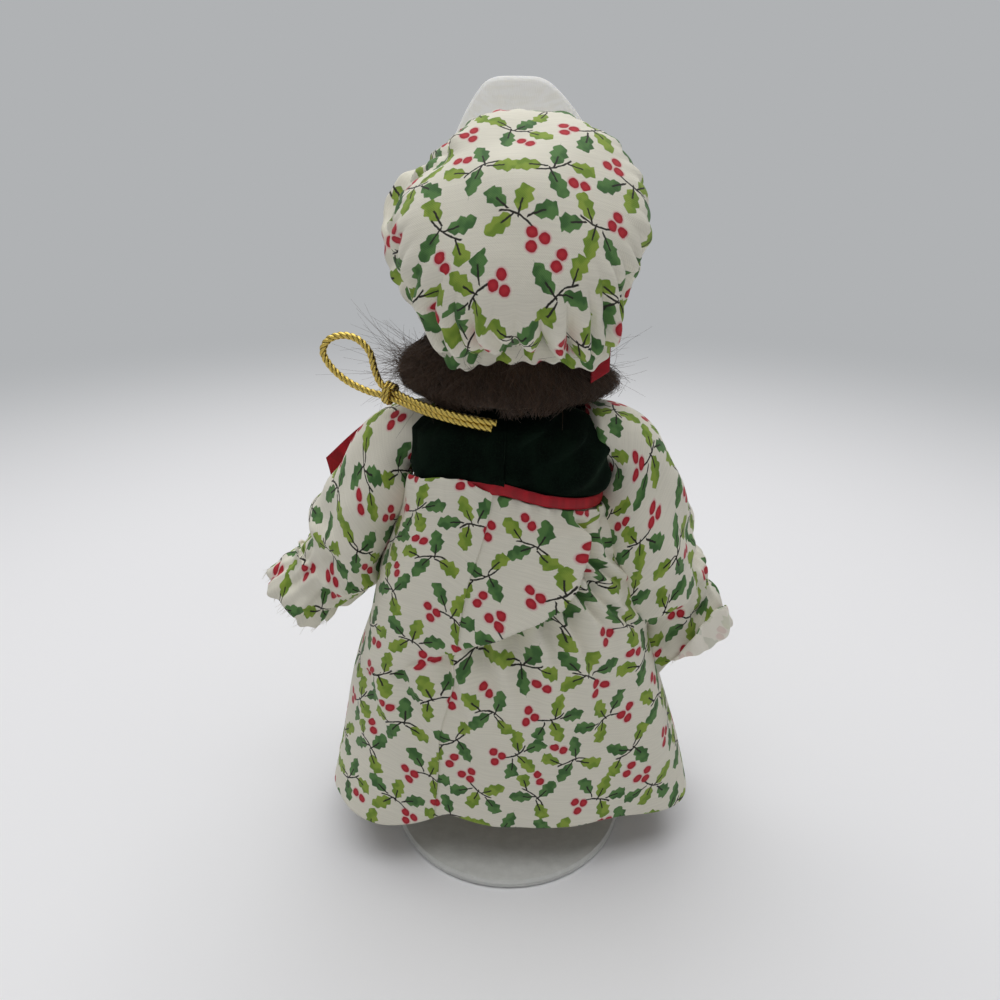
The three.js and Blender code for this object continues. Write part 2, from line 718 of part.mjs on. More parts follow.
// Skirt: a bell whose folds deepen towards the hem. In its outline a radius above 1 marks the outer layer.
const skirtTop = bodiceBottom - GAP;
const skirtHem = skirtTop - SKIRT_LENGTH;
const skirtShape = (angle, r, z) => {
  const drop = (skirtTop - z) / SKIRT_LENGTH;
  const open = Math.max(0, drop) ** SKIRT_FLARE;
  const reach = squared(angle, lerp(2.1, 3, drop));
  const x = lerp(SKIRT_TOP_HALF_WIDTH, SKIRT_HEM_HALF_WIDTH, open) * reach * Math.cos(angle);
  const y = lerp(SKIRT_TOP_HALF_DEPTH, SKIRT_HEM_HALF_DEPTH, open) * reach * Math.sin(angle);
  const wave = 0.7 * Math.cos(SKIRT_FOLDS * angle + 0.5) + 0.3 * Math.cos((SKIRT_FOLDS + 5) * angle + 2.1);
  const fold = SKIRT_FOLD * drop * wave * (1 - 0.75 * Math.cos(angle) ** 2);
  const grow = 1 + (fold - (r > 1.5 ? 0 : CLOTH)) / Math.hypot(x, y);
  return [x * grow, y * grow, z];
};
const skirtLevels = [0, 0.05, 0.13, 0.26, 0.42, 0.6, 0.8, 1].map((drop) => lerp(skirtTop, skirtHem, drop));
const skirtLayers = [
  ...skirtLevels.map((z) => [2, z]).reverse(),
  ...skirtLevels.filter((_, i) => i % 2 === 0 || i === 7).map((z) => [1, z]),
];
skirtLayers.push(skirtLayers[0]);
add(doll, "skirt", turned(skirtLayers, 56, skirtShape), PRINT);

// Arms. The path runs out of the armhole, bends down along the splay and turns again at the wrist.
const armStart = bodiceChest + GAP;
function armPath(side, splay, cuffSplay, cuffLength, extra) {
  const bend = Math.PI / 2 - radians(splay);
  const hold = (4 / 3) * Math.tan(bend / 4) * SHOULDER_BEND;
  const outward = vector(side, 0, 0);
  const along = vector(side * Math.sin(radians(splay)), 0, -Math.cos(radians(splay)));
  const cuff = vector(side * Math.sin(radians(cuffSplay)), 0, -Math.cos(radians(cuffSplay)));
  const start = vector(side * armStart, 0, shoulderLevel);
  const shoulder = start
    .clone()
    .add(vector(side * SHOULDER_BEND * Math.sin(bend), 0, -SHOULDER_BEND * (1 - Math.cos(bend))));
  const wrist = shoulder.clone().addScaledVector(along, SLEEVE_LENGTH);
  const path = new THREE.CurvePath();
  if (extra > 0) {
    path.add(new THREE.LineCurve3(start.clone().addScaledVector(outward, -extra), start));
  }
  const holdStart = start.clone().addScaledVector(outward, hold);
  const holdEnd = shoulder.clone().addScaledVector(along, -hold);
  path.add(new THREE.CubicBezierCurve3(start, holdStart, holdEnd, shoulder));
  path.add(new THREE.LineCurve3(shoulder, wrist));
  path.add(new THREE.LineCurve3(wrist, wrist.clone().addScaledVector(cuff, cuffLength)));
  return path;
}
const lengthwise = vector(0, 1, 0);
function addArm(name, side, splay, cuffSplay, cuffLength) {
  const sleevePath = armPath(side, splay, cuffSplay, cuffLength, 0);
  const wrist = 1 - cuffLength / sleevePath.getLength();
  const SLEEVE_REACH = [
    [0, ARMHOLE_RADIUS, ARMHOLE_RADIUS],
    [0.12, lerp(ARMHOLE_RADIUS, SLEEVE_HALF_WIDTH, 0.2), lerp(ARMHOLE_RADIUS, SLEEVE_HALF_DEPTH, 0.3)],
    [0.3, SLEEVE_HALF_WIDTH, lerp(ARMHOLE_RADIUS, SLEEVE_HALF_DEPTH, 0.9)],
    [wrist - 0.17, SLEEVE_HALF_WIDTH, SLEEVE_HALF_DEPTH],
    [wrist - 0.05, lerp(WRIST_HALF_WIDTH, SLEEVE_HALF_WIDTH, 0.5), lerp(WRIST_HALF_WIDTH, SLEEVE_HALF_DEPTH, 0.5)],
    [wrist, WRIST_HALF_WIDTH, WRIST_HALF_WIDTH],
    [wrist + 0.07, lerp(WRIST_HALF_WIDTH, CUFF_HALF_WIDTH, 0.4), lerp(WRIST_HALF_WIDTH, CUFF_HALF_WIDTH, 0.45)],
    [1, CUFF_HALF_WIDTH, CUFF_HALF_WIDTH],
  ];
  const sleeveReach = (inset) => (place, angle) => {
    const fold = SLEEVE_FOLD * Math.cos(SLEEVE_FOLDS * angle) * smooth(place, 0.25, wrist);
    return [1, 2].map((column) => keyed(SLEEVE_REACH, place, column) + fold - inset);
  };
  const outerPlaces = SLEEVE_REACH.map(([place]) => place);
  outerPlaces.splice(2, 0, 0.2);
  outerPlaces.splice(4, 0, 0.42);
  const innerPlaces = outerPlaces.slice().reverse();
  const sleeveRings = [
    ...ringsAlong(sleevePath, lengthwise, outerPlaces, 20, sleeveReach(0)),
    ...ringsAlong(sleevePath, lengthwise, innerPlaces, 20, sleeveReach(SLEEVE_WALL)),
  ];
  add(doll, "sleeve_" + name, skinned(sleeveRings, true), PRINT);

  const limbPath = armPath(side, splay, cuffSplay, cuffLength, CLOTH);
  const length = limbPath.getLength();
  const handEnd = 1 - 2.5 / length;
  const limbWrist = 1 - cuffLength / length;
  const elbow = handEnd - FOREARM_LENGTH / length;
  const upperKeys = [
    [0, UPPER_ARM_RADIUS],
    [elbow * 0.35, UPPER_ARM_RADIUS * 1.05],
    [elbow * 0.7, UPPER_ARM_RADIUS],
    [elbow * 0.92, UPPER_ARM_RADIUS * 0.86],
    [elbow, FOREARM_RADIUS],
  ];
  const upperReach = (place) => [keyed(upperKeys, place), keyed(upperKeys, place)];
  const upperPlaces = [0, 0.08, 0.2, 0.35, 0.5, 0.7, 0.92, 1].map((share) => share * elbow);
  const upperRings = ringsAlong(limbPath, lengthwise, upperPlaces, 12, upperReach);
  add(doll, "upper_arm_" + name, skinned(upperRings, false), MUSLIN);
  const fore = elbow + GAP / length;
  const foreKeys = [
    [fore, FOREARM_RADIUS * 0.96, FOREARM_RADIUS * 0.96],
    [lerp(fore, limbWrist, 0.4), FOREARM_RADIUS, FOREARM_RADIUS],
    [limbWrist, WRIST_RADIUS, WRIST_RADIUS],
    [limbWrist + 2 / length, WRIST_RADIUS, HAND_HALF_DEPTH * 1.2],
    [lerp(limbWrist, handEnd, 0.5), HAND_HALF_WIDTH, HAND_HALF_DEPTH * 1.1],
    [lerp(limbWrist, handEnd, 0.8), HAND_HALF_WIDTH * 0.85, HAND_HALF_DEPTH],
    [handEnd, HAND_HALF_WIDTH * 0.4, HAND_HALF_DEPTH * 0.6],
  ];
  const foreReach = (place) => [keyed(foreKeys, place, 1), keyed(foreKeys, place, 2)];
  const forePlaces = foreKeys.map(([place]) => place);
  const foreRings = ringsAlong(limbPath, lengthwise, forePlaces, 12, foreReach);
  add(doll, "forearm_" + name, skinned(foreRings, false), PORCELAIN);

  const elasticRing = WRIST_HALF_WIDTH - SLEEVE_FOLD - SLEEVE_WALL - GAP - ELASTIC_RADIUS;
  const elastic = turned(threadOutline(elasticRing, ELASTIC_RADIUS, 0), 14);
  const upright = vector(0, 0, 1);
  elastic.applyQuaternion(new THREE.Quaternion().setFromUnitVectors(upright, sleevePath.getTangentAt(wrist)));
  elastic.translate(...sleevePath.getPointAt(wrist));
  add(doll, "wrist_elastic_" + name, elastic, THREAD);
}
addArm("left", 1, LEFT_SPLAY, LEFT_CUFF_SPLAY, LEFT_CUFF_LENGTH);
addArm("right", -1, RIGHT_SPLAY, RIGHT_CUFF_SPLAY, RIGHT_CUFF_LENGTH);

// Legs: a stuffed upper leg with a round hip, and a porcelain lower leg with its boot.
const soleLevel = BASE_THICKNESS + FOOT_RISE;
const kneeLevel = soleLevel + LOWER_LEG_LENGTH;
function addLeg(name, x) {
  const upperSide = [];
  for (let i = 0; i <= 4; i += 1) {
    const angle = lerp(Math.PI / 2, 0, i / 4);
    upperSide.push([i === 0 ? 0 : HIP_RADIUS * Math.cos(angle), hipLevel + HIP_RADIUS * Math.sin(angle)]);
  }
  const upperEnd = kneeLevel + GAP;
  upperSide.push([HIP_RADIUS * 0.98, lerp(hipLevel, upperEnd, 0.35)]);
  upperSide.push([lerp(HIP_RADIUS, KNEE_RADIUS, 0.5), lerp(hipLevel, upperEnd, 0.8)]);
  upperSide.push([KNEE_RADIUS, upperEnd], [0, upperEnd]);
  add(doll, "upper_leg_" + name, turned(upperSide, 14).translate(x, 0, 0), MUSLIN);

  const ankleLevel = soleLevel + 2 * ANKLE_RADIUS;
  const legPath = new THREE.CatmullRomCurve3(
    [
      vector(x, 0, kneeLevel),
      vector(x, 0, lerp(kneeLevel, ankleLevel, 0.4)),
      vector(x, 0, ankleLevel),
      vector(x, -ANKLE_RADIUS, soleLevel + BOOT_HALF_WIDTH),
      vector(x, -BOOT_LENGTH, soleLevel + BOOT_HALF_WIDTH * 0.72),
    ],
    false,
    "centripetal",
  );
  const legKeys = [
    [0, KNEE_RADIUS * 0.94, KNEE_RADIUS * 0.94],
    [0.22, KNEE_RADIUS * 1.06, KNEE_RADIUS],
    [0.5, ANKLE_RADIUS * 1.08, ANKLE_RADIUS],
    [0.64, ANKLE_RADIUS, ANKLE_RADIUS],
    [0.78, BOOT_HALF_WIDTH * 0.94, BOOT_HALF_WIDTH * 0.95],
    [0.9, BOOT_HALF_WIDTH * 0.78, BOOT_HALF_WIDTH],
    [0.97, BOOT_HALF_WIDTH * 0.58, BOOT_HALF_WIDTH * 0.76],
    [1, BOOT_HALF_WIDTH * 0.28, BOOT_HALF_WIDTH * 0.4],
  ];
  const legReach = (place) => [keyed(legKeys, place, 1), keyed(legKeys, place, 2)];
  const legRings = ringsAlong(
    legPath,
    vector(1, 0, 0),
    legKeys.map(([place]) => place),
    12,
    legReach,
  );
  add(doll, "lower_leg_" + name, skinned(legRings, false), PORCELAIN);
}
addLeg("left", HIP_SPACING / 2);
addLeg("right", -HIP_SPACING / 2);

// Neck bow on the front of the bodice.
const bowLevel = torsoTop - BOW_DROP;
const bowY = -(bodiceChest * BODY_DEPTH_RATIO + GAP + BOW_KNOT_HALF_DEPTH);
const bowKnot = new THREE.SphereGeometry(1, 10, 8)
  .scale(BOW_KNOT_HALF_WIDTH, BOW_KNOT_HALF_DEPTH, BOW_KNOT_HALF_WIDTH)
  .translate(0, bowY, bowLevel);
add(doll, "bow_knot", welded(bowKnot), SATIN);
const bowOut = BOW_KNOT_HALF_WIDTH + GAP;
function loopPlace(side) {
  return (u, v) => {
    const out = Math.sin(Math.PI * THREE.MathUtils.clamp(u, 0, 1));
    const depth = BOW_LOOP_FULLNESS * Math.cos(Math.PI * u) * (0.4 + 0.6 * out);
    const height = RIBBON_WIDTH * (v - 0.5) * (0.6 + 0.5 * out) - 1.2 * out;
    return vector(side * (bowOut + BOW_LOOP_LENGTH * out), bowY - depth, bowLevel + height);
  };
}
add(doll, "bow_loop_left", sheet(loopPlace(1), 14, 2, RIBBON_THICKNESS), SATIN);
add(doll, "bow_loop_right", sheet(loopPlace(-1), 14, 2, RIBBON_THICKNESS), SATIN);
const tailTop = bowLevel - BOW_KNOT_HALF_WIDTH - GAP;
const tailLevel = tailTop - RIBBON_WIDTH / 2;
const tailReach = BOW_LEFT_TAIL_REACH;
const tailFront = SLEEVE_HALF_DEPTH + SLEEVE_FOLD + 2;
const tailY = bowY - BOW_KNOT_HALF_DEPTH - GAP - RIBBON_THICKNESS / 2;
const leftTail = new THREE.CatmullRomCurve3([
  vector(1.6, tailY, tailLevel),
  vector(tailReach * 0.35, tailY, tailLevel + 0.2),
  vector(tailReach * 0.68, -tailFront - BOW_TAIL_STAND_OFF, tailLevel),
  vector(tailReach, -tailFront, bowLevel - BOW_LEFT_TAIL_DROP),
]);
add(doll, "bow_tail_left", ribbon(leftTail, vector(0, -1, 0), RIBBON_WIDTH, 14, 0.06), SATIN);
const skirtFront = waistOuter * BODY_DEPTH_RATIO + RIBBON_THICKNESS + GAP;
const rightTail = new THREE.CatmullRomCurve3([
  vector(-2, tailY, tailTop),
  vector(-BOW_RIGHT_TAIL_REACH * 0.6, -skirtFront - 0.4, bodiceBottom + WAIST_RIBBON_WIDTH),
  vector(-BOW_RIGHT_TAIL_REACH * 0.82, -skirtFront - 1.4, bodiceBottom - 4),
  vector(-BOW_RIGHT_TAIL_REACH, -skirtFront - BOW_TAIL_STAND_OFF, bowLevel - BOW_RIGHT_TAIL_DROP),
]);
add(doll, "bow_tail_right", ribbon(rightTail, vector(0, -1, 0), RIBBON_WIDTH, 10, 0.1), SATIN);

// Hanging cord and its knot.
const [cordOut, cordLoop, cordBack] = [CORD_OUT, CORD_LOOP, CORD_BACK].map((points) =>
  points.map((point) => vector(...point)),
);
const cordPoints = [...cordOut, ...cordLoop, ...cordBack];
const cordPath = new THREE.CatmullRomCurve3(cordPoints, false, "centripetal");
add(doll, "hanging_cord", rod(cordPath, CORD_RADIUS, 36, 8), GOLD);
const [knotLow, knotHigh] = [cordOut.at(-1), cordBack[0]];
const knotTall = knotLow.distanceTo(knotHigh) / 2 + CORD_RADIUS + 2.5 * GAP;
const knotWide = CORD_RADIUS + 2.5 * GAP;
const knotRows = [-1, -0.55, 0.55, 1].map((share) => [share * (KNOT_LENGTH / 2), share]);
const knotOutline = [
  ...knotRows.map(([z, share]) => [2 - 0.4 * share ** 4, z]),
  [1, KNOT_LENGTH / 2],
  [1, -KNOT_LENGTH / 2],
];
knotOutline.push(knotOutline[0]);
const knotShape = (angle, r, z) => {
  const wall = KNOT_WALL * (r - 1);
  return [(knotTall + wall) * Math.cos(angle), (knotWide + wall) * Math.sin(angle), z];
};
const knotRun = cordLoop[0]
  .clone()
  .sub(cordOut.at(-2))
  .add(cordLoop.at(-1))
  .sub(cordBack[1])
  .normalize();
const knotUp = knotHigh.clone().sub(knotLow).normalize();
const knotAlong = knotRun.clone().addScaledVector(knotUp, -knotRun.dot(knotUp)).normalize();
const knotFrame = new THREE.Matrix4().makeBasis(
  knotUp,
  new THREE.Vector3().crossVectors(knotAlong, knotUp),
  knotAlong,
);
const knotMiddle = knotLow.clone().lerp(knotHigh, 0.5);
const knot = turned(knotOutline, 12, knotShape).applyMatrix4(knotFrame);
add(doll, "hanging_knot", knot.translate(...knotMiddle), GOLD);

export default doll;
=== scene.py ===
"""A porcelain doll ornament in a holly-print dress and cap, seen from behind on its stand.

Shapes are worked out in millimetres, in the frame of the CAD model, and become metres when a mesh is made.
"""
import math

import bmesh
import bpy
import numpy as np
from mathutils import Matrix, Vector
from numpy import cos, sin


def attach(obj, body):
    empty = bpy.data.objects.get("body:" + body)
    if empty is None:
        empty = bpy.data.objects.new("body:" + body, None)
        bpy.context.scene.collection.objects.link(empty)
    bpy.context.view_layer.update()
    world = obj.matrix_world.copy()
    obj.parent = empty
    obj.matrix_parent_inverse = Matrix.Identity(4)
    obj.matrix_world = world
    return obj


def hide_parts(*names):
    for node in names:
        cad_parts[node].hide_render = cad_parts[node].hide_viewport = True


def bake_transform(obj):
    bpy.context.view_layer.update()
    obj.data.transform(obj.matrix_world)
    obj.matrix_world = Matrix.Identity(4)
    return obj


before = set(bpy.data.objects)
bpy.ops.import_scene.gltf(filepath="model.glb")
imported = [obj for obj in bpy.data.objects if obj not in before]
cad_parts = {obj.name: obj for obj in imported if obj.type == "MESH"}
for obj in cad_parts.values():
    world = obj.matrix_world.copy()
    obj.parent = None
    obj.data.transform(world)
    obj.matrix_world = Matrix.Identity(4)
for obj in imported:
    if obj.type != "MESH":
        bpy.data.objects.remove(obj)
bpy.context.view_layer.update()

MM = 0.001
TAU = 2 * math.pi
UP, BACK = np.array([0.0, 0, 1]), np.array([0.0, 1, 0])
rng = np.random.default_rng(7)

# Sizes shared with the CAD model.
CLOTH, GAP = 0.8, 0.3
DEPTH_RATIO = 0.84
HEAD_LEVEL = 119.5
HEAD_HALF = (14.2, 15.0, 17.0)
SHOULDER_LEVEL = 89.5
BODICE_BOTTOM, BODICE_LENGTH, BODICE_CHEST = 80.6, 13.5, 15.35
BODICE_HEM, BODICE_NECK = 17.2, 11.8
WAIST_RIBBON = 2.2
SKIRT_TOP, SKIRT_LENGTH = 80.3, 68.3
RIBBON_WIDTH = 4.6
SKULL = (16.0, 16.8, 18.8)
CAP_ORIGIN, CAP_TILT = np.array([-0.6, 1.5, 121.5]), math.radians(-50)
TILT_COS, TILT_SIN = math.cos(CAP_TILT), math.sin(CAP_TILT)
RING_WIDTH, RING_LENGTH, RING_POWER = 18.1, 19.85, 2.5
PUFF_WIDTH, PUFF_LENGTH, PUFF_LEVEL, PUFF_HEIGHT = 20.6, 21.65, 7.0, 18.5
CORD_RADIUS = 0.65
CORD_ROUTE = [
    (3.2, 12.4, 93.1), (8.6, 11.85, 94.1), (15, 9, 95.2), (21.6, 4.4, 96.5), (25.5, 3.6, 97.4),
    (29.4, 3, 99.3), (32, 2.6, 101.8), (33, 2.4, 104.2), (32, 2.3, 106.1), (29.5, 2.4, 107),
    (26.8, 2.6, 106.4), (24.7, 3, 104.2), (23.9, 3.4, 101), (22.9, 3.7, 98.7), (21.2, 4.3, 97.7),
    (14.8, 9.1, 96.2), (8.4, 12, 95.1), (2.4, 12.5, 94.1),
]

# Camera at the photograph's place, behind the doll and above it.
camera = bpy.data.objects.new("camera", bpy.data.cameras.new("camera"))
bpy.context.scene.collection.objects.link(camera)
camera.data.lens, camera.data.sensor_width = 27.04, 36.0
camera.data.clip_start = 0.005
camera.location = (0.0018, 0.1345, 0.1318)
camera.rotation_euler = (math.radians(67), 0, math.radians(180))
bpy.context.scene.camera = camera


# Numbers and meshes.
def lerp(a, b, t):
    return a + (b - a) * t


def smooth(x, low, high):
    t = np.clip((x - low) / (high - low), 0, 1)
    return t * t * (3 - 2 * t)


def fade(x, low, high):
    return 1 - smooth(x, low, high)


def hump(x, middle, spread):
    return np.exp(-(((x - middle) / spread) ** 2))


def column(count):
    return np.linspace(0, 1, count)[:, None]


def circle(count):
    return np.linspace(0, TAU, count, endpoint=False)[None]


def joined(*parts):
    """Arrays that broadcast together, as the parts of one array of vectors."""
    return np.stack(np.broadcast_arrays(*parts), -1)


def unit(vectors):
    return vectors / np.linalg.norm(vectors, axis=-1, keepdims=True)


def eased(values, window, **padding):
    """Values along a line, each averaged with its neighbours over a window."""
    weights = np.hanning(window)
    return np.convolve(np.pad(values, window // 2, **padding), weights / weights.sum(), "valid")


def squared(angle, power):
    """Radius of a rounded square of half width 1, rounder for a power near 2."""
    return (np.abs(cos(angle)) ** power + np.abs(sin(angle)) ** power) ** (-1 / power)


def ripples(*coordinates, scale, seed, terms=7):
    """Smooth uneven waves of about unit size over some coordinates, each wave about scale long."""
    own = np.random.default_rng(seed)
    total = 0
    for _ in range(terms):
        turn = own.normal(size=len(coordinates))
        turn *= TAU / scale / np.linalg.norm(turn) * own.uniform(0.6, 1.4)
        total = total + sin(sum(k * c for k, c in zip(turn, coordinates)) + own.uniform(0, TAU))
    return total / math.sqrt(terms / 2)


def spline(points, count):
    """Evenly spaced points along a centripetal Catmull-Rom curve."""
    p = np.asarray(points, float)
    p = np.vstack([2 * p[0] - p[1], p, 2 * p[-1] - p[-2]])
    fine = []
    for a, b, c, d in zip(p, p[1:], p[2:], p[3:]):
        k = np.cumsum([0, *(np.linalg.norm(y - x) ** 0.5 for x, y in ((a, b), (b, c), (c, d)))])
        t = np.linspace(k[1], k[2], 40, endpoint=False)[:, None]
        a1, a2, a3 = (
            (k[i + 1] - t) / (k[i + 1] - k[i]) * x + (t - k[i]) / (k[i + 1] - k[i]) * y
            for i, (x, y) in enumerate(((a, b), (b, c), (c, d)))
        )
        b1 = (k[2] - t) / (k[2] - k[0]) * a1 + (t - k[0]) / (k[2] - k[0]) * a2
        b2 = (k[3] - t) / (k[3] - k[1]) * a2 + (t - k[1]) / (k[3] - k[1]) * a3
        fine.append((k[2] - t) / (k[2] - k[1]) * b1 + (t - k[1]) / (k[2] - k[1]) * b2)
    return evened(np.vstack([*fine, p[-2]]), count)


def evened(points, count):
    """Evenly spaced points along a path."""
    run = path_runs(points)
    want = np.linspace(0, run[-1], count)
    return np.stack([np.interp(want, run, points[:, i]) for i in range(3)], 1)


def path_runs(points):
    """Distance along a path at each of its points."""
    return np.r_[0, np.cumsum(np.linalg.norm(np.diff(points, axis=0), axis=1))]


def path_length(points):
    return float(path_runs(points)[-1])


def tangents(points):
    return unit(np.gradient(points, axis=0))


def carried_frames(points):
    """Two directions square to a path at each point, turned as little as possible along it."""
    t = tangents(points)
    side = np.cross(t[0], UP if abs(t[0][2]) < 0.9 else BACK)
    sides = []
    for along in t:
        side = unit(side - along * (side @ along))
        sides.append(side)
    sides = np.array(sides)
    return sides, np.cross(t, sides)


def make(name, points, faces, materials, uv=None):
    mesh = bpy.data.meshes.new(name)
    points = np.asarray(points, float).reshape(-1, 3) * MM
    mesh.from_pydata(points.tolist(), [], [list(map(int, f)) for f in faces])
    if uv is not None:
        mesh.uv_layers.new(name="cloth").uv.foreach_set("vector", np.asarray(uv, np.float32).ravel())
    mesh.polygons.foreach_set("use_smooth", [True] * len(mesh.polygons))
    for m in materials:
        mesh.materials.append(m)
    obj = bpy.data.objects.new(name, mesh)
    bpy.context.scene.collection.objects.link(obj)
    return obj


def grid_faces(rows, cols, wrap, flip, start=0):
    r, c = np.meshgrid(np.arange(rows - 1), np.arange(cols if wrap else cols - 1), indexing="ij")
    n = (c + 1) % cols
    quads = np.stack([r * cols + c, r * cols + n, (r + 1) * cols + n, (r + 1) * cols + c], -1)
    return (quads[..., ::-1] if flip else quads) + start


def end_faces(rows, cols, flip, start=0):
    """The two faces that close the ends of a grid that wraps."""
    first = np.arange(cols) + start
    last = first + (rows - 1) * cols
    return [first, last[::-1]] if flip else [first[::-1], last]


def grid(name, points, materials, wrap=False, flip=False, uv=None, keep=None, caps=False):
    """A mesh over a grid of points. uv has a column more than the points where the grid wraps."""
    rows, cols = points.shape[:2]
    quads = grid_faces(rows, cols, wrap, flip)
    corners = None
    if uv is not None:
        corners = np.stack([uv[:-1, :-1], uv[:-1, 1:], uv[1:, 1:], uv[1:, :-1]], -2)
        corners = corners[..., ::-1, :] if flip else corners
    if keep is not None:
        quads, corners = quads[keep], None if uv is None else corners[keep]
    faces = quads.reshape(-1, 4).tolist()
    if caps:
        faces += end_faces(rows, cols, flip)
    return make(name, points, faces, materials, None if uv is None else corners.reshape(-1, 2))


def runs(points, axis, wrap=False):
    """Distance along the rows or columns of a grid of points, with the closing step where it wraps."""
    if wrap:
        points = np.concatenate([points, points[:, :1]], 1)
    step = np.linalg.norm(np.diff(points, axis=axis), axis=2)
    return np.insert(np.cumsum(step, axis=axis), 0, 0, axis=axis)


def thicken(obj, thickness, offset=-1.0, inner=0):
    modifier = obj.modifiers.new("thickness", "SOLIDIFY")
    modifier.thickness, modifier.offset, modifier.material_offset = thickness * MM, offset, inner
    return obj


def tube_points(path, radius, sides):
    """Rings of points round a path. radius is a number or an array over (points, sides)."""
    side, over = carried_frames(path)
    angle = circle(sides)[..., None]
    reach = np.broadcast_to(radius, (len(path), sides))[..., None]
    return path[:, None] + reach * (cos(angle) * side[:, None] + sin(angle) * over[:, None])


def tube(name, path, radius, materials, sides):
    return grid(name, tube_points(path, radius, sides), materials, wrap=True, caps=True)


def edited(obj, edit):
    """The object, with its mesh changed by a bmesh operation."""
    mesh = bmesh.new()
    mesh.from_mesh(obj.data)
    edit(mesh)
    mesh.to_mesh(obj.data)
    mesh.free()
    return obj


def welded_copy(name, node, materials, sharp, levels):
    """The CAD node's own shape as one smooth-shaded mesh, sharp at edges of that many degrees."""
    source = bmesh.new()
    source.from_mesh(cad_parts[node].data)
    bmesh.ops.remove_doubles(source, verts=source.verts, dist=1e-6)
    points = np.array([v.co[:] for v in source.verts]) / MM
    faces = [[v.index for v in f.verts] for f in source.faces]
    source.free()
    obj = make(name, points, faces, materials)
    obj.data.set_sharp_from_angle(angle=math.radians(sharp))
    if levels:
        modifier = obj.modifiers.new("smooth", "SUBSURF")
        modifier.levels = modifier.render_levels = levels
    return obj


def placed(obj, body, slot, *nodes):
    """The piece rides on a body and stands for these CAD nodes, which it hides. slot is not used."""
    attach(obj, body)
    if nodes:
        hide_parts(*nodes)
    return obj


# Materials.
def srgb(*color):
    """A screen colour from 0 to 255 as linear light."""
    linear = (((c / 255 + 0.055) / 1.055) ** 2.4 if c > 10 else c / 255 / 12.92 for c in color)
    return (*linear, 1.0)


class Nodes:
    """Builds the nodes of a material or the world. An input is a socket to link or a constant."""

    def __init__(self, owner, shader="Principled BSDF", **inputs):
        self.owner = owner
        owner.use_nodes = True
        self.tree = owner.node_tree
        self.shader = self.tree.nodes[shader]
        for key, value in inputs.items():
            self.set(key.replace("_", " "), value)

    def put(self, socket, value):
        if isinstance(value, bpy.types.NodeSocket):
            self.tree.links.new(value, socket)
        else:
            socket.default_value = value

    def set(self, key, value):
        self.put(self.shader.inputs[key], value)

    def node(self, kind, *inputs, output=0, **settings):
        made = self.tree.nodes.new("ShaderNode" + kind)
        for key, value in settings.items():
            setattr(made, key, value)
        for i, value in enumerate(inputs):
            if value is not None:
                self.put(made.inputs[i], value)
        return made.outputs[output]

    def math(self, operation, *inputs):
        return self.node("Math", *inputs, operation=operation)

    def times(self, a, b):
        return self.math("MULTIPLY", a, b)

    def part(self, vector, axis):
        return self.node("SeparateXYZ", vector, output=axis)

    def vector(self, operation, *inputs):
        out = 1 if operation in ("LENGTH", "DISTANCE") else 0
        return self.node("VectorMath", *inputs, operation=operation, output=out)

    def step(self, value, low, high):
        """0 at low, 1 at high, smooth between."""
        return self.node("MapRange", value, low, high, 0.0, 1.0, interpolation_type="SMOOTHSTEP")

    def mix(self, share, a, b, data_type="RGBA"):
        kind = ("FLOAT", "VECTOR", "RGBA").index(data_type)
        skipped = [None] * (2 * kind + 1)
        return self.node("Mix", share, *skipped, a, b, output=kind, data_type=data_type)

    def placed(self, vector, location, turn, scale):
        """A vector in a frame of its own, turned by some degrees."""
        turn = (0, 0, math.radians(turn))
        return self.node("Mapping", vector, location, turn, scale, vector_type="TEXTURE")

    def noise(self, vector, scale, detail=3.0, roughness=0.5):
        return self.node("TexNoise", vector, None, scale, detail, roughness)

    def stretched(self, vector, x, y, z=1.0):
        return self.vector("MULTIPLY", vector, (x, y, z))

    def bump(self, height, strength, distance):
        """Relief on the shading, distance in metres."""
        made = self.tree.nodes.new("ShaderNodeBump")
        for key, value in (("Strength", strength), ("Distance", distance), ("Height", height)):
            self.put(made.inputs[key], value)
        self.set("Normal", made.outputs[0])

    def color(self, value):
        self.set("Base Color", value)

    def direct(self):
        """1 for a ray from the camera, also by way of a gloss or a glass, and 0 for other light."""
        path = self.tree.nodes.new("ShaderNodeLightPath")
        kinds = ("Camera", "Glossy", "Transmission")
        seen, gloss, glass = (path.outputs[f"Is {kind} Ray"] for kind in kinds)
        return self.node("Math", self.math("ADD", seen, gloss), glass, operation="ADD", use_clamp=True)

    def cloth(self):
        """Millimetres on the flat cloth."""
        return self.node("UVMap", uv_map="cloth")

    def place(self):
        """Millimetres in the part's own frame."""
        return self.vector("SCALE", self.node("TexCoord", output=3), None, None, 1000.0)


def new_material(name, **inputs):
    return Nodes(bpy.data.materials.new(name), **inputs)


def woven(n, flat, pitch):
    """Height of a plain weave with uneven threads."""
    warp, weft = (n.math("SINE", n.times(n.part(flat, i), TAU / pitch)) for i in (0, 1))
    slub = n.noise(n.stretched(flat, 0.14, 4.2), 1.0, 2.0)
    return n.math("MULTIPLY_ADD", slub, 0.7, n.times(warp, weft)), slub


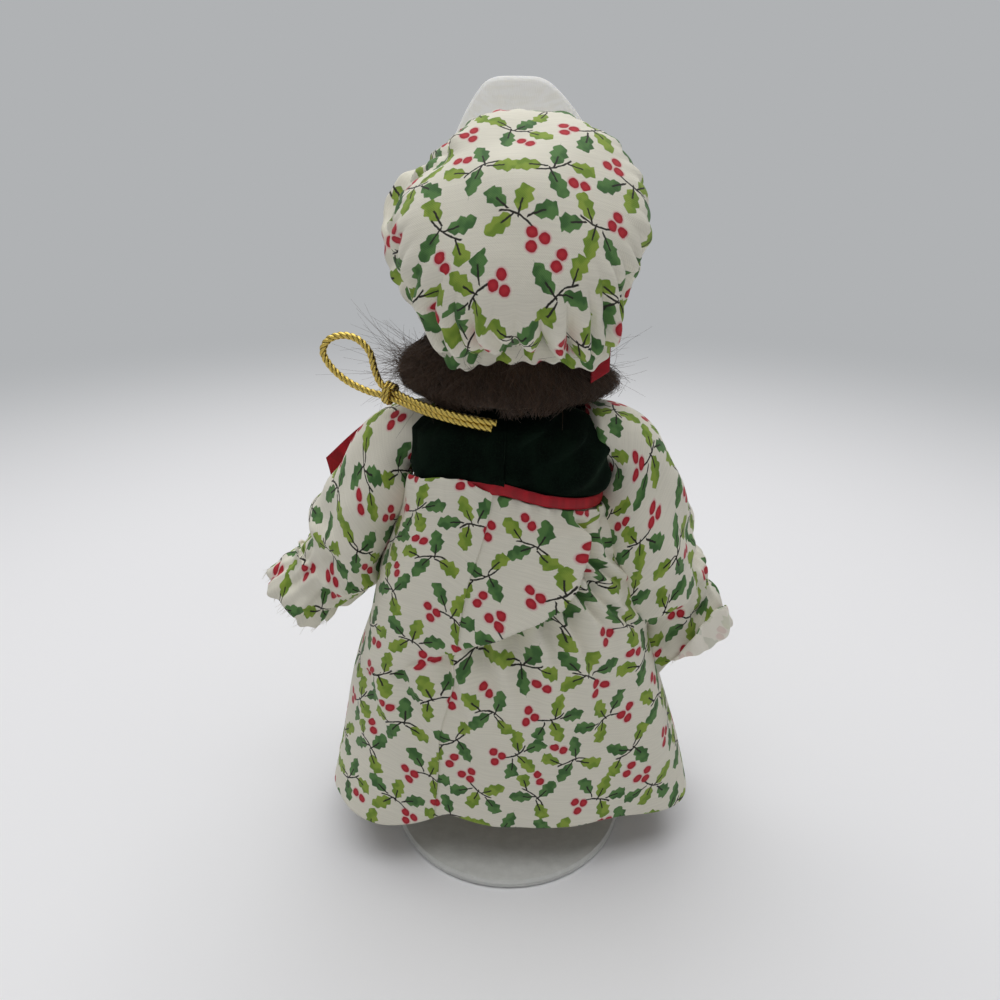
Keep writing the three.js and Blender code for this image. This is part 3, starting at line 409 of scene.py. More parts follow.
# A repeat of the holly print: sprigs at (x, y, turn, mirror, kind) in millimetres and degrees.
PRINT_REPEAT = 36.0
SPRIGS = [
    (3.1, 3.2, 24, -1, 1), (14.8, 2.4, 198, -1, 1), (26.6, 2.6, 340, 1, 0), (8.6, 11.0, 152, 1, 0),
    (20.0, 12.4, 322, -1, 1), (33.0, 11.2, 172, -1, 0), (2.6, 20.8, 38, 1, 1), (15.2, 21.2, 222, 1, 0),
    (26.5, 20.6, 12, -1, 1), (9.0, 29.0, 350, -1, 1), (20.8, 29.4, 204, 1, 0), (32.6, 29.0, 28, 1, 0),
]
# Leaves of each kind of sprig at (x, y, turn, lime), its berries, and its stem's signed radius of bend.
LEAVES = [
    [(-4.7, 0.9, 158, 0), (-2.2, -2.6, 238, 1), (-0.7, 2.7, 96, 1), (3.2, 2.9, 44, 0)],
    [(-4.6, -1.3, 206, 1), (-1.7, 2.3, 128, 0), (1.0, -2.8, 268, 0), (4.0, 2.0, 20, 1)],
]
BERRIES = [[(2.6, -1.1), (4.5, -0.9), (3.4, -2.8)], [(-1.5, -3.0), (-3.1, -3.9)]]
STEM_BENDS = [-6.0, 7.5]
LEAF_SIZE = (2.4, 1.5, 1)
BERRY_RADIUS, HALO_RADIUS = 0.82, 1.2
STEM_HALF_WIDTH, STEM_REACH = 0.15, 3.2
SPRIG_SHAPE = (0.86, 1.12, 1)
# Marks in a vector's z, for the second kind of sprig and for a lime leaf.
KIND_MARK, LIME_MARK = 0.001, 0.01
PRINT_INK, PRINT_PITCH = 0.35, 0.34
WEAVE_RELIEF = 0.00006
GROUND, GROUND_SHADE, WORN = srgb(237, 233, 217), srgb(230, 226, 210), srgb(246, 241, 227)


def nearest(n, vectors, weight=(1, 1, 1)):
    """The one of some vectors that is shortest when its sides are weighted."""
    best, shortest = None, None
    for v in vectors:
        length = n.vector("LENGTH", n.vector("MULTIPLY", v, weight))
        if best is None:
            best, shortest = v, length
            continue
        best = n.mix(n.math("LESS_THAN", length, shortest), best, v, "VECTOR")
        shortest = n.math("MINIMUM", length, shortest)
    return best


def find_sprig(n, flat):
    """The cloth's place in the frame of the nearest sprig, marked with the sprig's kind."""
    half = PRINT_REPEAT / 2
    local = []
    for x, y, turn, mirror, kind in SPRIGS:
        off = n.vector("WRAP", n.vector("SUBTRACT", flat, (x, y, 0)), (half, half, 1), (-half, -half, -1))
        local.append(n.placed(off, (0, 0, -KIND_MARK * kind), turn, (1, mirror, 1)))
    return nearest(n, local, SPRIG_SHAPE)


def find_leaf(n, sprig, leaves):
    """The sprig's place in the frame of its nearest leaf, marked where that is lime."""
    marked = (((x, y, -LIME_MARK * lime), turn) for x, y, turn, lime in leaves)
    return nearest(n, [n.placed(sprig, at, turn, LEAF_SIZE) for at, turn in marked])


def print_color(n, flat, ground):
    """The holly print on the flat cloth."""
    edge = n.vector("SUBTRACT", n.node("TexNoise", flat, None, 1.1, 2.0, output=1), (0.5, 0.5, 0.5))
    flat = n.vector("ADD", flat, n.vector("SCALE", edge, None, None, PRINT_INK))
    flat = n.stretched(flat, 1, 1, 0)
    sprig = find_sprig(n, flat)
    kind = n.math("GREATER_THAN", n.part(sprig, 2), KIND_MARK / 2)
    leaf = n.mix(kind, *(find_leaf(n, sprig, leaves) for leaves in LEAVES), "VECTOR")
    a, b, mark = (n.part(leaf, i) for i in range(3))
    across = n.times(a, a)
    bent = n.math("ABSOLUTE", n.math("MULTIPLY_ADD", across, 0.1, b))
    body = n.math("POWER", n.math("MAXIMUM", n.math("SUBTRACT", 1.0, across), 0.0), 0.7)
    spine = n.math("DIVIDE", n.math("PINGPONG", n.math("ADD", a, 0.64), 0.32), 0.32)
    width = n.times(body, n.math("MULTIPLY_ADD", spine, -0.34, 1.0))
    on_leaf = n.step(n.math("SUBTRACT", width, bent), -0.05, 0.05)
    lime = n.math("GREATER_THAN", mark, LIME_MARK / 2)
    green = n.mix(lime, srgb(90, 132, 72), srgb(144, 168, 66))
    deep = n.mix(lime, srgb(66, 106, 56), srgb(118, 148, 52))
    tone = n.math("SUBTRACT", n.noise(flat, 0.55, 1.0), n.times(b, 0.22))
    green = n.mix(n.step(tone, 0.35, 0.62), deep, green)
    rib = n.times(n.step(bent, 0.13, 0.07), n.step(n.math("ABSOLUTE", n.math("ADD", a, 0.85)), 0.72, 0.6))

    kinds = []
    for dots, bend in zip(BERRIES, STEM_BENDS):
        near = n.vector("DISTANCE", sprig, (*dots[0], 0))
        for dot in dots[1:]:
            near = n.math("MINIMUM", near, n.vector("DISTANCE", sprig, (*dot, 0)))
        line = n.math("SUBTRACT", n.vector("DISTANCE", sprig, (0, bend, 0)), abs(bend))
        kinds.append((near, n.math("ABSOLUTE", line)))
    berry, line = (n.mix(kind, *pair, "FLOAT") for pair in zip(*kinds))
    reach = n.step(n.vector("LENGTH", sprig), STEM_REACH, STEM_REACH - 0.3)
    stem = n.times(n.step(line, STEM_HALF_WIDTH + 0.04, STEM_HALF_WIDTH - 0.04), reach)

    color = n.mix(n.step(berry, HALO_RADIUS, BERRY_RADIUS), ground, srgb(226, 186, 182))
    color = n.mix(on_leaf, color, green)
    color = n.mix(n.math("MAXIMUM", rib, stem), color, srgb(42, 40, 34))
    red = n.mix(n.step(berry, 0.1, BERRY_RADIUS), srgb(196, 50, 60), srgb(170, 32, 46))
    return n.mix(n.step(berry, BERRY_RADIUS + 0.05, BERRY_RADIUS - 0.05), color, red)


def print_material(name, reverse):
    n = new_material(name, Roughness=0.82, Sheen_Weight=0.12, Sheen_Roughness=0.5, Specular_IOR_Level=0.25)
    flat = n.cloth()
    height, slub = woven(n, flat, PRINT_PITCH)
    color = print_color(n, flat, n.mix(n.step(slub, 0.3, 0.7), GROUND_SHADE, GROUND))
    n.color(n.mix(0.78, color, WORN) if reverse else color)
    n.bump(height, 0.35, WEAVE_RELIEF)
    return n.owner


def plain_cloth(name, tint, shade, pitch=0.3, glow=0.0):
    n = new_material(
        name, Roughness=0.85, Sheen_Weight=0.15, Specular_IOR_Level=0.2,
        Subsurface_Weight=glow, Subsurface_Radius=(1.0, 0.95, 0.8), Subsurface_Scale=0.004,
    )
    height, slub = woven(n, n.stretched(n.place(), 1, 0.6), pitch)
    n.color(n.mix(n.step(slub, 0.35, 0.65), shade, tint))
    n.bump(height, 0.3, WEAVE_RELIEF)
    return n.owner


def velvet_material():
    n = new_material(
        "velvet", Roughness=0.95, Specular_IOR_Level=0.06,
        Sheen_Weight=0.16, Sheen_Roughness=0.3, Sheen_Tint=srgb(130, 168, 140),
    )
    flat = n.place()
    pile = n.noise(flat, 5.5, 4.0, 0.7)
    nap = n.noise(n.stretched(flat, 0.35, 0.35, 0.16), 1.0, 3.0)
    color = n.mix(n.step(nap, 0.4, 0.65), srgb(5, 11, 7), srgb(12, 24, 16))
    n.color(n.mix(n.step(pile, 0.4, 0.75), color, srgb(20, 34, 25)))
    n.bump(pile, 0.7, 0.00015)
    return n.owner


SATIN_PITCH = 0.22


def satin_material():
    n = new_material("red_satin", Roughness=0.36, Specular_IOR_Level=0.3, Anisotropic=0.4)
    flat = n.cloth()
    y = n.part(flat, 1)
    threads = n.math("SINE", n.times(n.part(flat, 0), TAU / SATIN_PITCH))
    cloud = n.noise(n.stretched(flat, 0.5, 0.12), 1.0, 2.0)
    color = n.mix(n.step(cloud, 0.35, 0.65), srgb(146, 9, 24), srgb(174, 16, 32))
    border = n.step(n.math("ABSOLUTE", y), 0.44, 0.49)
    n.color(n.mix(border, color, srgb(140, 12, 28)))
    n.set("Roughness", n.math("MULTIPLY_ADD", cloud, 0.2, 0.36))
    n.bump(n.math("ADD", threads, n.times(border, 2.0)), 0.25, 0.00004)
    return n.owner


def gold_material():
    n = new_material("gold_cord", Metallic=1.0, Roughness=0.3)
    flat = n.cloth()
    groove = n.part(flat, 1)
    fibre = n.noise(n.stretched(flat, 14.0, 3.0), 1.0, 2.0)
    # Painted shade: the gold is darker down in the grooves between the strands, where shade falls, than on
    # their crests.
    color = n.mix(n.step(groove, 0.15, 0.75), srgb(84, 64, 22), srgb(208, 180, 88))
    n.color(n.mix(n.step(fibre, 0.45, 0.8), color, srgb(238, 218, 136)))
    n.set("Roughness", n.math("MULTIPLY_ADD", fibre, 0.25, 0.18))
    n.bump(fibre, 0.5, 0.00008)
    return n.owner


def hair_material():
    n = new_material("wig_fibre", Roughness=0.5, Specular_IOR_Level=0.3, Sheen_Weight=0.1)
    tone = n.node("Attribute", attribute_name="tone", output=2)
    fibre = n.noise(n.stretched(n.place(), 2.4, 2.4, 0.35), 1.0, 3.0)
    n.color(n.mix(n.times(n.math("ADD", tone, fibre), 0.5), srgb(28, 18, 11), srgb(98, 72, 50)))
    n.bump(fibre, 0.6, 0.0002)
    return n.owner


def plastic_material(name, tint, shade, roughness):
    n = new_material(name, Roughness=roughness, Specular_IOR_Level=0.45)
    at = n.place()
    wear = n.noise(n.stretched(at, 0.35, 0.5), 1.0, 5.0, 0.65)
    speck = n.noise(at, 3.0, 2.0)
    n.color(n.mix(n.step(wear, 0.35, 0.7), shade, tint))
    n.set("Roughness", n.math("MULTIPLY_ADD", wear, 0.2, roughness - 0.1))
    n.bump(speck, 0.15, 0.00004)
    return n.owner


def blob(n, x, z, centre, half, soft, turn):
    """An ellipse of paint on the front of the face."""
    local = n.placed(n.node("CombineXYZ", x, z), (*centre, 0), turn, (*half, 1))
    return n.step(n.vector("LENGTH", local), 1 + soft, 1 - soft)


SKIN, SKIN_SHADE = srgb(243, 217, 200), srgb(232, 198, 178)
EYE_PLACE, EYE_LEVEL, MOUTH_LEVEL = 5.0, -1.6, -9.3
BOOT_TOP, SOLE_TOP = 11.4, 4.0
# Paint on each half of the face: (place, half sizes, softness, turn, colour, strength).
# Places are across from the face's middle and up from the head's.
FACE_PAINT = [
    ((7.6, -6.6), (3.4, 2.8), 0.75, 0, srgb(231, 142, 134), 0.55),
    ((EYE_PLACE, EYE_LEVEL), (2.15, 1.35), 0.08, -4, srgb(244, 242, 238), 1.0),
    ((EYE_PLACE - 0.1, EYE_LEVEL + 0.05), (1.18, 1.3), 0.08, 0, srgb(72, 100, 132), 1.0),
    ((EYE_PLACE - 0.1, EYE_LEVEL + 0.05), (0.62, 0.68), 0.12, 0, srgb(16, 16, 20), 1.0),
    ((EYE_PLACE - 0.5, EYE_LEVEL + 0.5), (0.3, 0.28), 0.2, 0, srgb(250, 250, 250), 1.0),
    ((EYE_PLACE + 0.1, EYE_LEVEL + 1.45), (2.4, 0.34), 0.3, 1, srgb(58, 36, 28), 0.95),
    ((EYE_PLACE, EYE_LEVEL - 1.45), (1.7, 0.14), 0.5, 4, srgb(150, 98, 84), 0.7),
    ((EYE_PLACE + 0.4, EYE_LEVEL + 4.0), (2.7, 0.36), 0.5, 3, srgb(112, 74, 54), 0.85),
    ((1.0, MOUTH_LEVEL + 0.42), (1.35, 0.55), 0.15, -14, srgb(196, 62, 70), 0.95),
    ((0.0, MOUTH_LEVEL - 0.55), (1.75, 0.72), 0.15, 0, srgb(204, 78, 82), 0.95),
    ((0.0, MOUTH_LEVEL), (2.1, 0.12), 0.4, 0, srgb(128, 36, 44), 0.9),
    ((0.9, -5.6), (0.34, 0.22), 0.4, 0, srgb(196, 118, 106), 0.8),
]


def porcelain_material(name, face=False, boots=False):
    n = new_material(name, Roughness=0.3, Coat_Weight=0.35, Coat_Roughness=0.12, Specular_IOR_Level=0.5)
    at = n.place()
    x, y, z = (n.part(at, i) for i in range(3))
    color = n.mix(n.step(n.noise(at, 0.25, 3.0), 0.3, 0.7), SKIN_SHADE, SKIN)
    if face:
        half, level = n.math("ABSOLUTE", x), n.math("SUBTRACT", z, HEAD_LEVEL)
        front = n.step(y, -4.0, -7.0)
        for *shape, tint, strength in FACE_PAINT:
            mask = n.times(n.times(blob(n, half, level, *shape), front), strength)
            color = n.mix(mask, color, tint)
    if boots:
        color = n.mix(n.step(z, BOOT_TOP + 0.2, BOOT_TOP - 0.2), color, srgb(30, 24, 24))
        color = n.mix(n.step(z, SOLE_TOP + 0.1, SOLE_TOP - 0.1), color, srgb(74, 50, 36))
    n.color(color)
    n.bump(n.noise(at, 1.4, 2.0), 0.03, 0.0001)
    return n.owner


PRINT = [print_material("holly_print", False), print_material("holly_print_reverse", True)]
CREAM = [plain_cloth("cream_cotton", srgb(254, 251, 240), srgb(249, 245, 231), glow=0.9)]
MUSLIN = [plain_cloth("muslin", srgb(226, 213, 190), srgb(214, 199, 174), 0.45)]
THREAD = [plain_cloth("thread", srgb(226, 221, 208), srgb(206, 199, 184), 0.2)]
VELVET = [velvet_material()]
SATIN = [satin_material()]
GOLD = [gold_material()]
HAIR = [hair_material()]
STAND = [plastic_material("stand_white", srgb(212, 213, 209), srgb(202, 203, 199), 0.42)]
WIRE = [plastic_material("wire_white", srgb(206, 207, 203), srgb(190, 191, 187), 0.35)]
FACE = [porcelain_material("porcelain_face", face=True)]
PORCELAIN = [porcelain_material("porcelain")]
BOOTS = [porcelain_material("porcelain_boots", boots=True)]


# Hanging cord: a doubled twisted strand with its knot and loop.
STRANDS, TWIST_PITCH, CORD_SIDES = 3, 3.2, 24
KNOT_RADIUS, KNOT_HALF_WIDTH, KNOT_PITCH = 0.46, 1.15, 0.72


def twisted(name, path, radius):
    """A tube grooved like a laid cord. Its uv holds the run along it and the height above a groove."""
    run = path_runs(path)[:, None]
    crest = np.abs(cos(STRANDS / 2 * (circle(CORD_SIDES) - TAU * run / TWIST_PITCH))) ** 0.8
    uv = joined(run, crest)
    points = tube_points(path, radius * (0.66 + 0.34 * crest), CORD_SIDES)
    return grid(name, points, GOLD, wrap=True, uv=np.concatenate([uv, uv[:, :1]], 1))


def knot_path():
    """Turns of cord round both strands, where the loop begins."""
    low, high = (np.array(CORD_ROUTE[i], float) for i in (3, 14))
    up = unit(high - low)
    run = np.array(CORD_ROUTE[4], float) - CORD_ROUTE[2]
    run = unit(run - up * (run @ up))
    turn = np.linspace(-0.15, 2.2, 90)[:, None]
    tall = np.linalg.norm(high - low) / 2 + 1.0
    ring = tall * cos(TAU * turn) * up + KNOT_HALF_WIDTH * sin(TAU * turn) * np.cross(run, up)
    return (low + high) / 2 + ring + (turn - 1.02) * KNOT_PITCH * run


cord_path = spline(CORD_ROUTE, 420)
cord = placed(twisted("gold_hanging_cord", cord_path, CORD_RADIUS), "torso", "gold_cord", "hanging_cord")
knot = placed(twisted("gold_cord_knot", knot_path(), KNOT_RADIUS), "torso", "gold_cord", "hanging_knot")


# Dress.
PRINT_THICK, FRILL_THICK, VELVET_THICK, BRIM_THICK = 0.3, 0.28, 0.55, 0.55
RIBBON_THICK, SASH_THICK = 0.26, 0.3
BODICE_POWER, SKIRT_POWER = 3.2, 3.0
ARMHOLE = 5.0
BODICE_SEAM, SASH_START = math.radians(86.5), math.radians(100)
FRAY_RADIUS = 0.05


def waist_shift(x, y):
    """The waistline at the back hangs lower on the doll's right than on its left."""
    return np.interp(x, [-18, -6, 1, 7, 11, 16], [-3.4, -1.0, 1.1, 1.5, 1.6, 0.3]) * smooth(y, -6, 6)


BODICE_SHARES = [0, 0.1, 0.16, 0.28, 0.78, 0.9, 1, 1.1]
BODICE_WIDTHS = [16.7, 16.7, 17.5, 18.3, 17.6, 15.2, BODICE_NECK, 9.8]
BODICE_DEPTHS = [14.2, 14.0, 14.5, 14.0, 12.9, 12.2, BODICE_NECK * DEPTH_RATIO, 8.6]


def bodice_halves(z):
    """Half width and half depth of the velvet at a height."""
    share = (z - BODICE_BOTTOM) / BODICE_LENGTH
    return np.interp(share, BODICE_SHARES, BODICE_WIDTHS), np.interp(share, BODICE_SHARES, BODICE_DEPTHS)


def make_bodice():
    rows, cols = 48, 220
    angle = (BODICE_SEAM + np.linspace(0, TAU, cols))[None]
    share = np.linspace(0, 1.1, rows)[:, None]
    z = BODICE_BOTTOM + BODICE_LENGTH * share + 0 * angle
    wide, deep = bodice_halves(z)
    reach = squared(angle, lerp(2.0, BODICE_POWER, smooth(np.abs(z - 85), 9, 5)))
    x, y = wide * reach * cos(angle), deep * reach * sin(angle)
    back = smooth(y, 2, 9)
    x = x + 1.8 * back * smooth(x, 5, 13) * hump(share, 0.94, 0.1)
    slant = z * 0.8 + x * 0.6
    fold = back * smooth(-x, -2, 3) * 0.8 * cos(TAU * slant / 5.6 + 0.8) * smooth(share, 0.05, 0.3)
    fold += 0.4 * ripples(x, y, z, scale=9, seed=3) * smooth(share, 0.0, 0.2)
    fold += 0.55 * back * hump(share, 0.27, 0.1)
    edge = np.minimum(np.arange(cols), np.arange(cols)[::-1])[None] * TAU * BODICE_CHEST / cols
    fold += np.where(np.arange(cols)[None] > cols / 2, 0.45, -0.1) * np.exp(-edge / 1.0)
    grow = 1 + np.maximum(fold, -0.35) / np.hypot(x, y)
    z = z + waist_shift(x, y) * fade(share, 0, 0.5) + 0.25 * sin(3 * angle) * share
    points = np.stack([x * grow, y * grow, z], -1)
    middle = (points[:-1, :-1] + points[1:, 1:]) / 2
    from_shoulder = np.hypot(middle[..., 1], middle[..., 2] - SHOULDER_LEVEL)
    keep = (np.abs(middle[..., 0]) < 10) | (from_shoulder > ARMHOLE)
    obj = thicken(grid("velvet_bodice", points, VELVET, keep=keep), VELVET_THICK)
    return placed(obj, "torso", "velvet", "bodice")


def make_waist_ribbon():
    rows, cols = 7, 240
    angle = SASH_START + circle(cols)
    share = column(rows)
    z = BODICE_BOTTOM + WAIST_RIBBON * share + 0 * angle
    wide, deep = bodice_halves(BODICE_BOTTOM)
    ease = 0.6 + 0.12 * cos(math.pi * (share - 0.5))
    ease = ease + 0.1 * ripples(14 * cos(angle), 14 * sin(angle), scale=11, seed=9)
    reach = squared(angle, BODICE_POWER)
    x, y = (wide + ease) * reach * cos(angle), (deep + ease) * reach * sin(angle)
    points = np.stack([x, y, z + waist_shift(x, y)], -1)
    uv = joined(runs(points, 1, wrap=True), share - 0.5)
    obj = grid("red_waist_ribbon", points, SATIN, wrap=True, uv=uv)
    return placed(thicken(obj, SASH_THICK), "torso", "red_satin", "waist_ribbon")


# The skirt's half width and half depth at the waist and the hem.
SKIRT_WIDTHS, SKIRT_DEPTHS = (17.6, 38.7), (14.4, 21.0)
# The back seam's angle down the skirt, in degrees.
SEAM_DROPS = [0, 0.034, 0.129, 0.215, 0.332, 0.454, 0.581, 0.713, 1]
SEAM_ANGLES = [80, 79, 75.4, 72.1, 70.2, 69.1, 67.7, 66.7, 66.7]
# The edge of the swag fold in x and z, and the form of its wall.
SWAG_LINE = np.array([
    (-11.4, 79.0), (-12, 75.4), (-11.7, 71.0), (-10.2, 66.0), (-7.8, 62.2), (-4.1, 59.6), (0.3, 57.0),
    (4.8, 54.4), (9.6, 51.8), (14.2, 49.6),
])
SWAG_INSET, SWAG_LIP, SWAG_WALL = 2.6, 2.7, 4.2
# Where the print of each panel begins.
PANEL_SHIFTS = np.array([0.0, 511, 1043])


def beside(x, z, line):
    """Signed distance to a line, positive above it, and the place along it from 0 to 1."""
    best = np.full(x.shape, 1e9)
    side, place = np.zeros(x.shape), np.zeros(x.shape)
    for i, (a, b) in enumerate(zip(line, line[1:])):
        run = b - a
        t = np.clip(((x - a[0]) * run[0] + (z - a[1]) * run[1]) / (run @ run), 0, 1)
        dx, dz = x - a[0] - t * run[0], z - a[1] - t * run[1]
        d = np.hypot(dx, dz)
        near = d < best
        best = np.where(near, d, best)
        side = np.where(near, np.sign(run[0] * dz - run[1] * dx), side)
        place = np.where(near, (i + t) / (len(line) - 1), place)
    return best * side, place


def make_skirt():
    rows, cols = 230, 560
    drop = column(rows) ** 1.05
    turn = np.linspace(0, TAU + 0.012, cols)[None]
    angle = np.radians(np.interp(drop, SEAM_DROPS, SEAM_ANGLES)) + turn
    reach = squared(angle, lerp(BODICE_POWER, SKIRT_POWER, drop))
    opened = drop**0.85
    x = lerp(*SKIRT_WIDTHS, opened) * reach * cos(angle)
    y = lerp(*SKIRT_DEPTHS, opened) * reach * sin(angle)
    z = SKIRT_TOP - SKIRT_LENGTH * drop + 0 * angle
    wave = 0.7 * cos(7 * angle + 0.5) + 0.3 * cos(12 * angle + 2.1)
    fold = 1.5 * drop * wave * (1 - 0.75 * cos(angle) ** 2)
    fold += 0.32 * np.exp(-drop * SKIRT_LENGTH / 8) * cos(30 * angle + 2 * sin(3 * angle))
    fold += 0.3 * smooth(drop, 0, 0.3) * ripples(x, y, 0.6 * z, scale=17, seed=21)
    fold += 1.6 * smooth(x, 4, 18) * hump(drop, 0.25, 0.15)
    behind = smooth(y, 2, 8)
    away, place = beside(x, z, SWAG_LINE)
    edge = np.where(turn > math.pi, turn[0, -1] - turn, turn) * np.hypot(x, y)
    fold += np.where(turn > math.pi, 0.3, -0.1) * np.exp(-edge / 0.7)
    cover = behind * smooth(x, 1.0, 8.5) * fade(drop, 0, 0.08)
    fold += 1.3 * cover
    z += (waist_shift(x, y) + 3.1 * cover) * fade(drop, 0, 0.12)
    z += smooth(drop, 0.6, 1) * 2.2 * behind * hump(x, 13, 5.5)
    z += smooth(drop, 0.7, 1) * (0.55 * sin(4 * angle + 0.6) + 0.35 * sin(9 * angle + 1.9))
    grow = 1 + fold / np.hypot(x, y)
    points = np.stack([x * grow, y * grow, z], -1)
    run, fall = runs(points, 1), runs(points, 0)
    ends = behind * smooth(place, 0.0, 0.12) * smooth(1 - place, 0.0, 0.3)
    upper = smooth(away, -0.5, 0.5)
    above, below = np.maximum(away, 0), np.minimum(away, 0)
    swag = ends * lerp(-SWAG_INSET * np.exp(below / 5.5), SWAG_LIP * np.exp(-above / 6.5), upper)
    under = behind * (1 - upper) * np.exp(-np.maximum(-away - 1, 0) / 12) * smooth(place, 0.02, 0.2)
    swag += 1.8 * under * cos(TAU * (x * 0.95 - z * 0.2) / lerp(4.2, 7.5, smooth(place, 0.2, 0.6)) + 0.6)
    points[..., :2] *= (1 + swag / np.hypot(x, y))[..., None]
    over = ends * upper * np.exp(-above / 2.2)
    points[..., 0] -= over * lerp(1.5, 0.7, smooth(place, 0.3, 0.6))
    points[..., 2] -= 1.6 * over * smooth(place, 0.05, 0.5)
    steps = np.diff(SWAG_LINE, axis=0)
    middles = (np.arange(len(steps)) + 0.5) / len(steps)
    heading = np.interp(place, middles, np.unwrap(np.arctan2(steps[:, 1], steps[:, 0])))
    wall = SWAG_WALL * ends * (1 - upper) * np.exp(below / 14)
    uv = np.stack([run - wall * sin(heading), -fall - wall * cos(heading)], -1)
    left, right = int(0.33 * cols), int(0.8 * cols)
    panel = np.searchsorted([left, right], np.arange(cols - 1), side="right")
    shift = PANEL_SHIFTS[panel] - run[:, [0, (left + right) // 2, cols - 1]][:, panel]
    near, far = (uv[:, i : cols - 1 + i] + joined(shift, 0) for i in (0, 1))
    quads = np.stack([near[:-1], far[:-1], far[1:], near[1:]], 2)
    faces = grid_faces(rows, cols, False, True).reshape(-1, 4)
    obj = make("print_skirt", points, faces, PRINT, quads[..., ::-1, :].reshape(-1, 2))
    placed(thicken(obj, PRINT_THICK, inner=1), "torso", "holly_print", "skirt")


SLEEVE_BEND, SLEEVE_LENGTH, SLEEVE_START = 9.0, 27.0, 2.0


def arm_points(side, splay, cuff_splay, cuff_length):
    """An arm's path out of the armhole, down the sleeve and past the wrist, and the wrist's share of it."""
    start = np.array([side * (BODICE_CHEST + GAP), 0, SHOULDER_LEVEL])
    out = np.array([side, 0, 0])
    splay, cuff_splay = math.radians(splay), math.radians(cuff_splay)
    t = np.linspace(0, math.pi / 2 - splay, 40)[:, None]
    arc = start + SLEEVE_BEND * (sin(t) * out - (1 - cos(t)) * UP)
    wrist = arc[-1] + SLEEVE_LENGTH * (math.sin(splay) * out - math.cos(splay) * UP)
    end = wrist + cuff_length * (math.sin(cuff_splay) * out - math.cos(cuff_splay) * UP)
    points = np.vstack([start - SLEEVE_START * out, arc, wrist, end])
    return evened(points, 400), 1 - cuff_length / path_length(points)


def make_sleeve(name, side, splay, cuff_splay, cuff_length, bag, curl, short, fat, flare, head):
    """A sleeve along its arm, as its cloth and the arm's directions.

    bag is its sag at the back, curl the turning of its hem, short the lift of its inner hem, fat its width,
    flare the frill's radius and head the fullness at the shoulder.
    """
    points, wrist = arm_points(side, splay, cuff_splay, cuff_length)
    points = np.stack([eased(p, 37, mode="reflect", reflect_type="odd") for p in points.T], 1)
    rows, cols = 150, 132
    path = evened(points, rows)
    place = column(rows)
    seam, back = (0, cols // 4) if side > 0 else (math.pi, 3 * cols // 4)
    angle = seam + circle(cols)
    round_x, round_y = cos(angle), sin(angle)
    keys = [0, 0.12, 0.3, wrist - 0.17, wrist - 0.06, wrist, wrist + 0.07, 1]
    flat = np.interp(place, keys, [5.3, 5.5, 6.2, 6.6, 6.5, 6.5, 7.0, flare])
    flat = flat * lerp(1, fat, smooth(place, 0.1, 0.4))
    deep = np.interp(place, keys, [5.3, 6.2, 7.9, 8.3, 7.4, 6.5, 6.9, flare])
    flat, deep = (eased(v[:, 0], 13, mode="edge")[:, None] for v in (flat, deep))
    sag = bag * smooth(place, 0.08, 0.45) * fade(place, wrist - 0.04, wrist + 0.12)
    lean = np.maximum(0, cos(angle - math.pi / 2 + side * math.pi / 4))
    droop = smooth(place, wrist - 0.3, wrist - 0.06) * fade(place, wrist - 0.06, wrist + 0.02)
    gather = hump(place, wrist, 0.07)
    frill = smooth(place, wrist, 1)
    phase = 0.9 * sin(2 * angle + side) + 0.5 * sin(5 * angle)
    fold = 0.35 * gather * cos(17 * angle + phase)
    fold += 0.5 * frill * cos(8 * angle + phase) + 0.25 * frill * cos(17 * angle + phase)
    body = smooth(place, 0.08, 0.3) * (1 - 0.6 * frill)
    length = place * path_length(path)
    fold += 0.42 * body * ripples(6.5 * round_x, 6.5 * round_y, 0.45 * length, scale=9, seed=31 + side)
    fold += 0.35 * body * (1 - gather) * cos(3 * angle + length / 3.4 + side)
    crumple = smooth(place, wrist - 0.35, wrist - 0.05) * (1 - 0.7 * frill)
    fold += 0.4 * crumple * ripples(7 * round_x, 7 * round_y, length, scale=5.5, seed=61 + side)
    rings = smooth(place, 0.35, 0.6) * (1 - frill)
    fold += 0.55 * rings * cos(TAU * length / 9 + 2.4 * sin(angle + 2.2 * side))
    hem = np.clip((place - 0.87) / 0.13, 0, 1)
    turned = curl * np.maximum(0, cos(angle - math.pi / 2 - side * 0.7)) ** 2.2
    fold += sag * lean**1.5 + turned * (1.5 * sin(0.8 * math.pi * hem) + 0.6 * hem)
    along = tangents(path)
    inward = unit(np.cross(BACK, along))
    ragged = frill**3 * (0.6 * cos(5 * angle + 1.0) + 0.35 * cos(11 * angle)) + 0.7 * bag * droop * lean
    ragged = ragged - 13.5 * turned * hem**2 - short * frill * np.maximum(0, side * round_x)
    puff = head * smooth(place, 0, 0.035) * fade(place, 0.06, 0.3) * np.maximum(0, sin(angle + 0.45))
    cloth = path[:, None] + ((flat + fold) * round_x)[..., None] * inward[:, None]
    cloth = cloth + ((deep + fold) * round_y + puff)[..., None] * BACK + ragged[..., None] * along[:, None]
    around = runs(cloth, 1, wrap=True)
    fall = runs(np.concatenate([cloth, cloth[:, :1]], 1), 0)
    uv = np.stack([around - around[:, back : back + 1] + 7 * side, fall + 13 * side], -1)
    obj = thicken(grid("print_sleeve_" + name, cloth, PRINT, wrap=True, uv=uv), FRILL_THICK, inner=1)
    placed(obj, "arm_" + name, "holly_print", "sleeve_" + name)
    return cloth, along


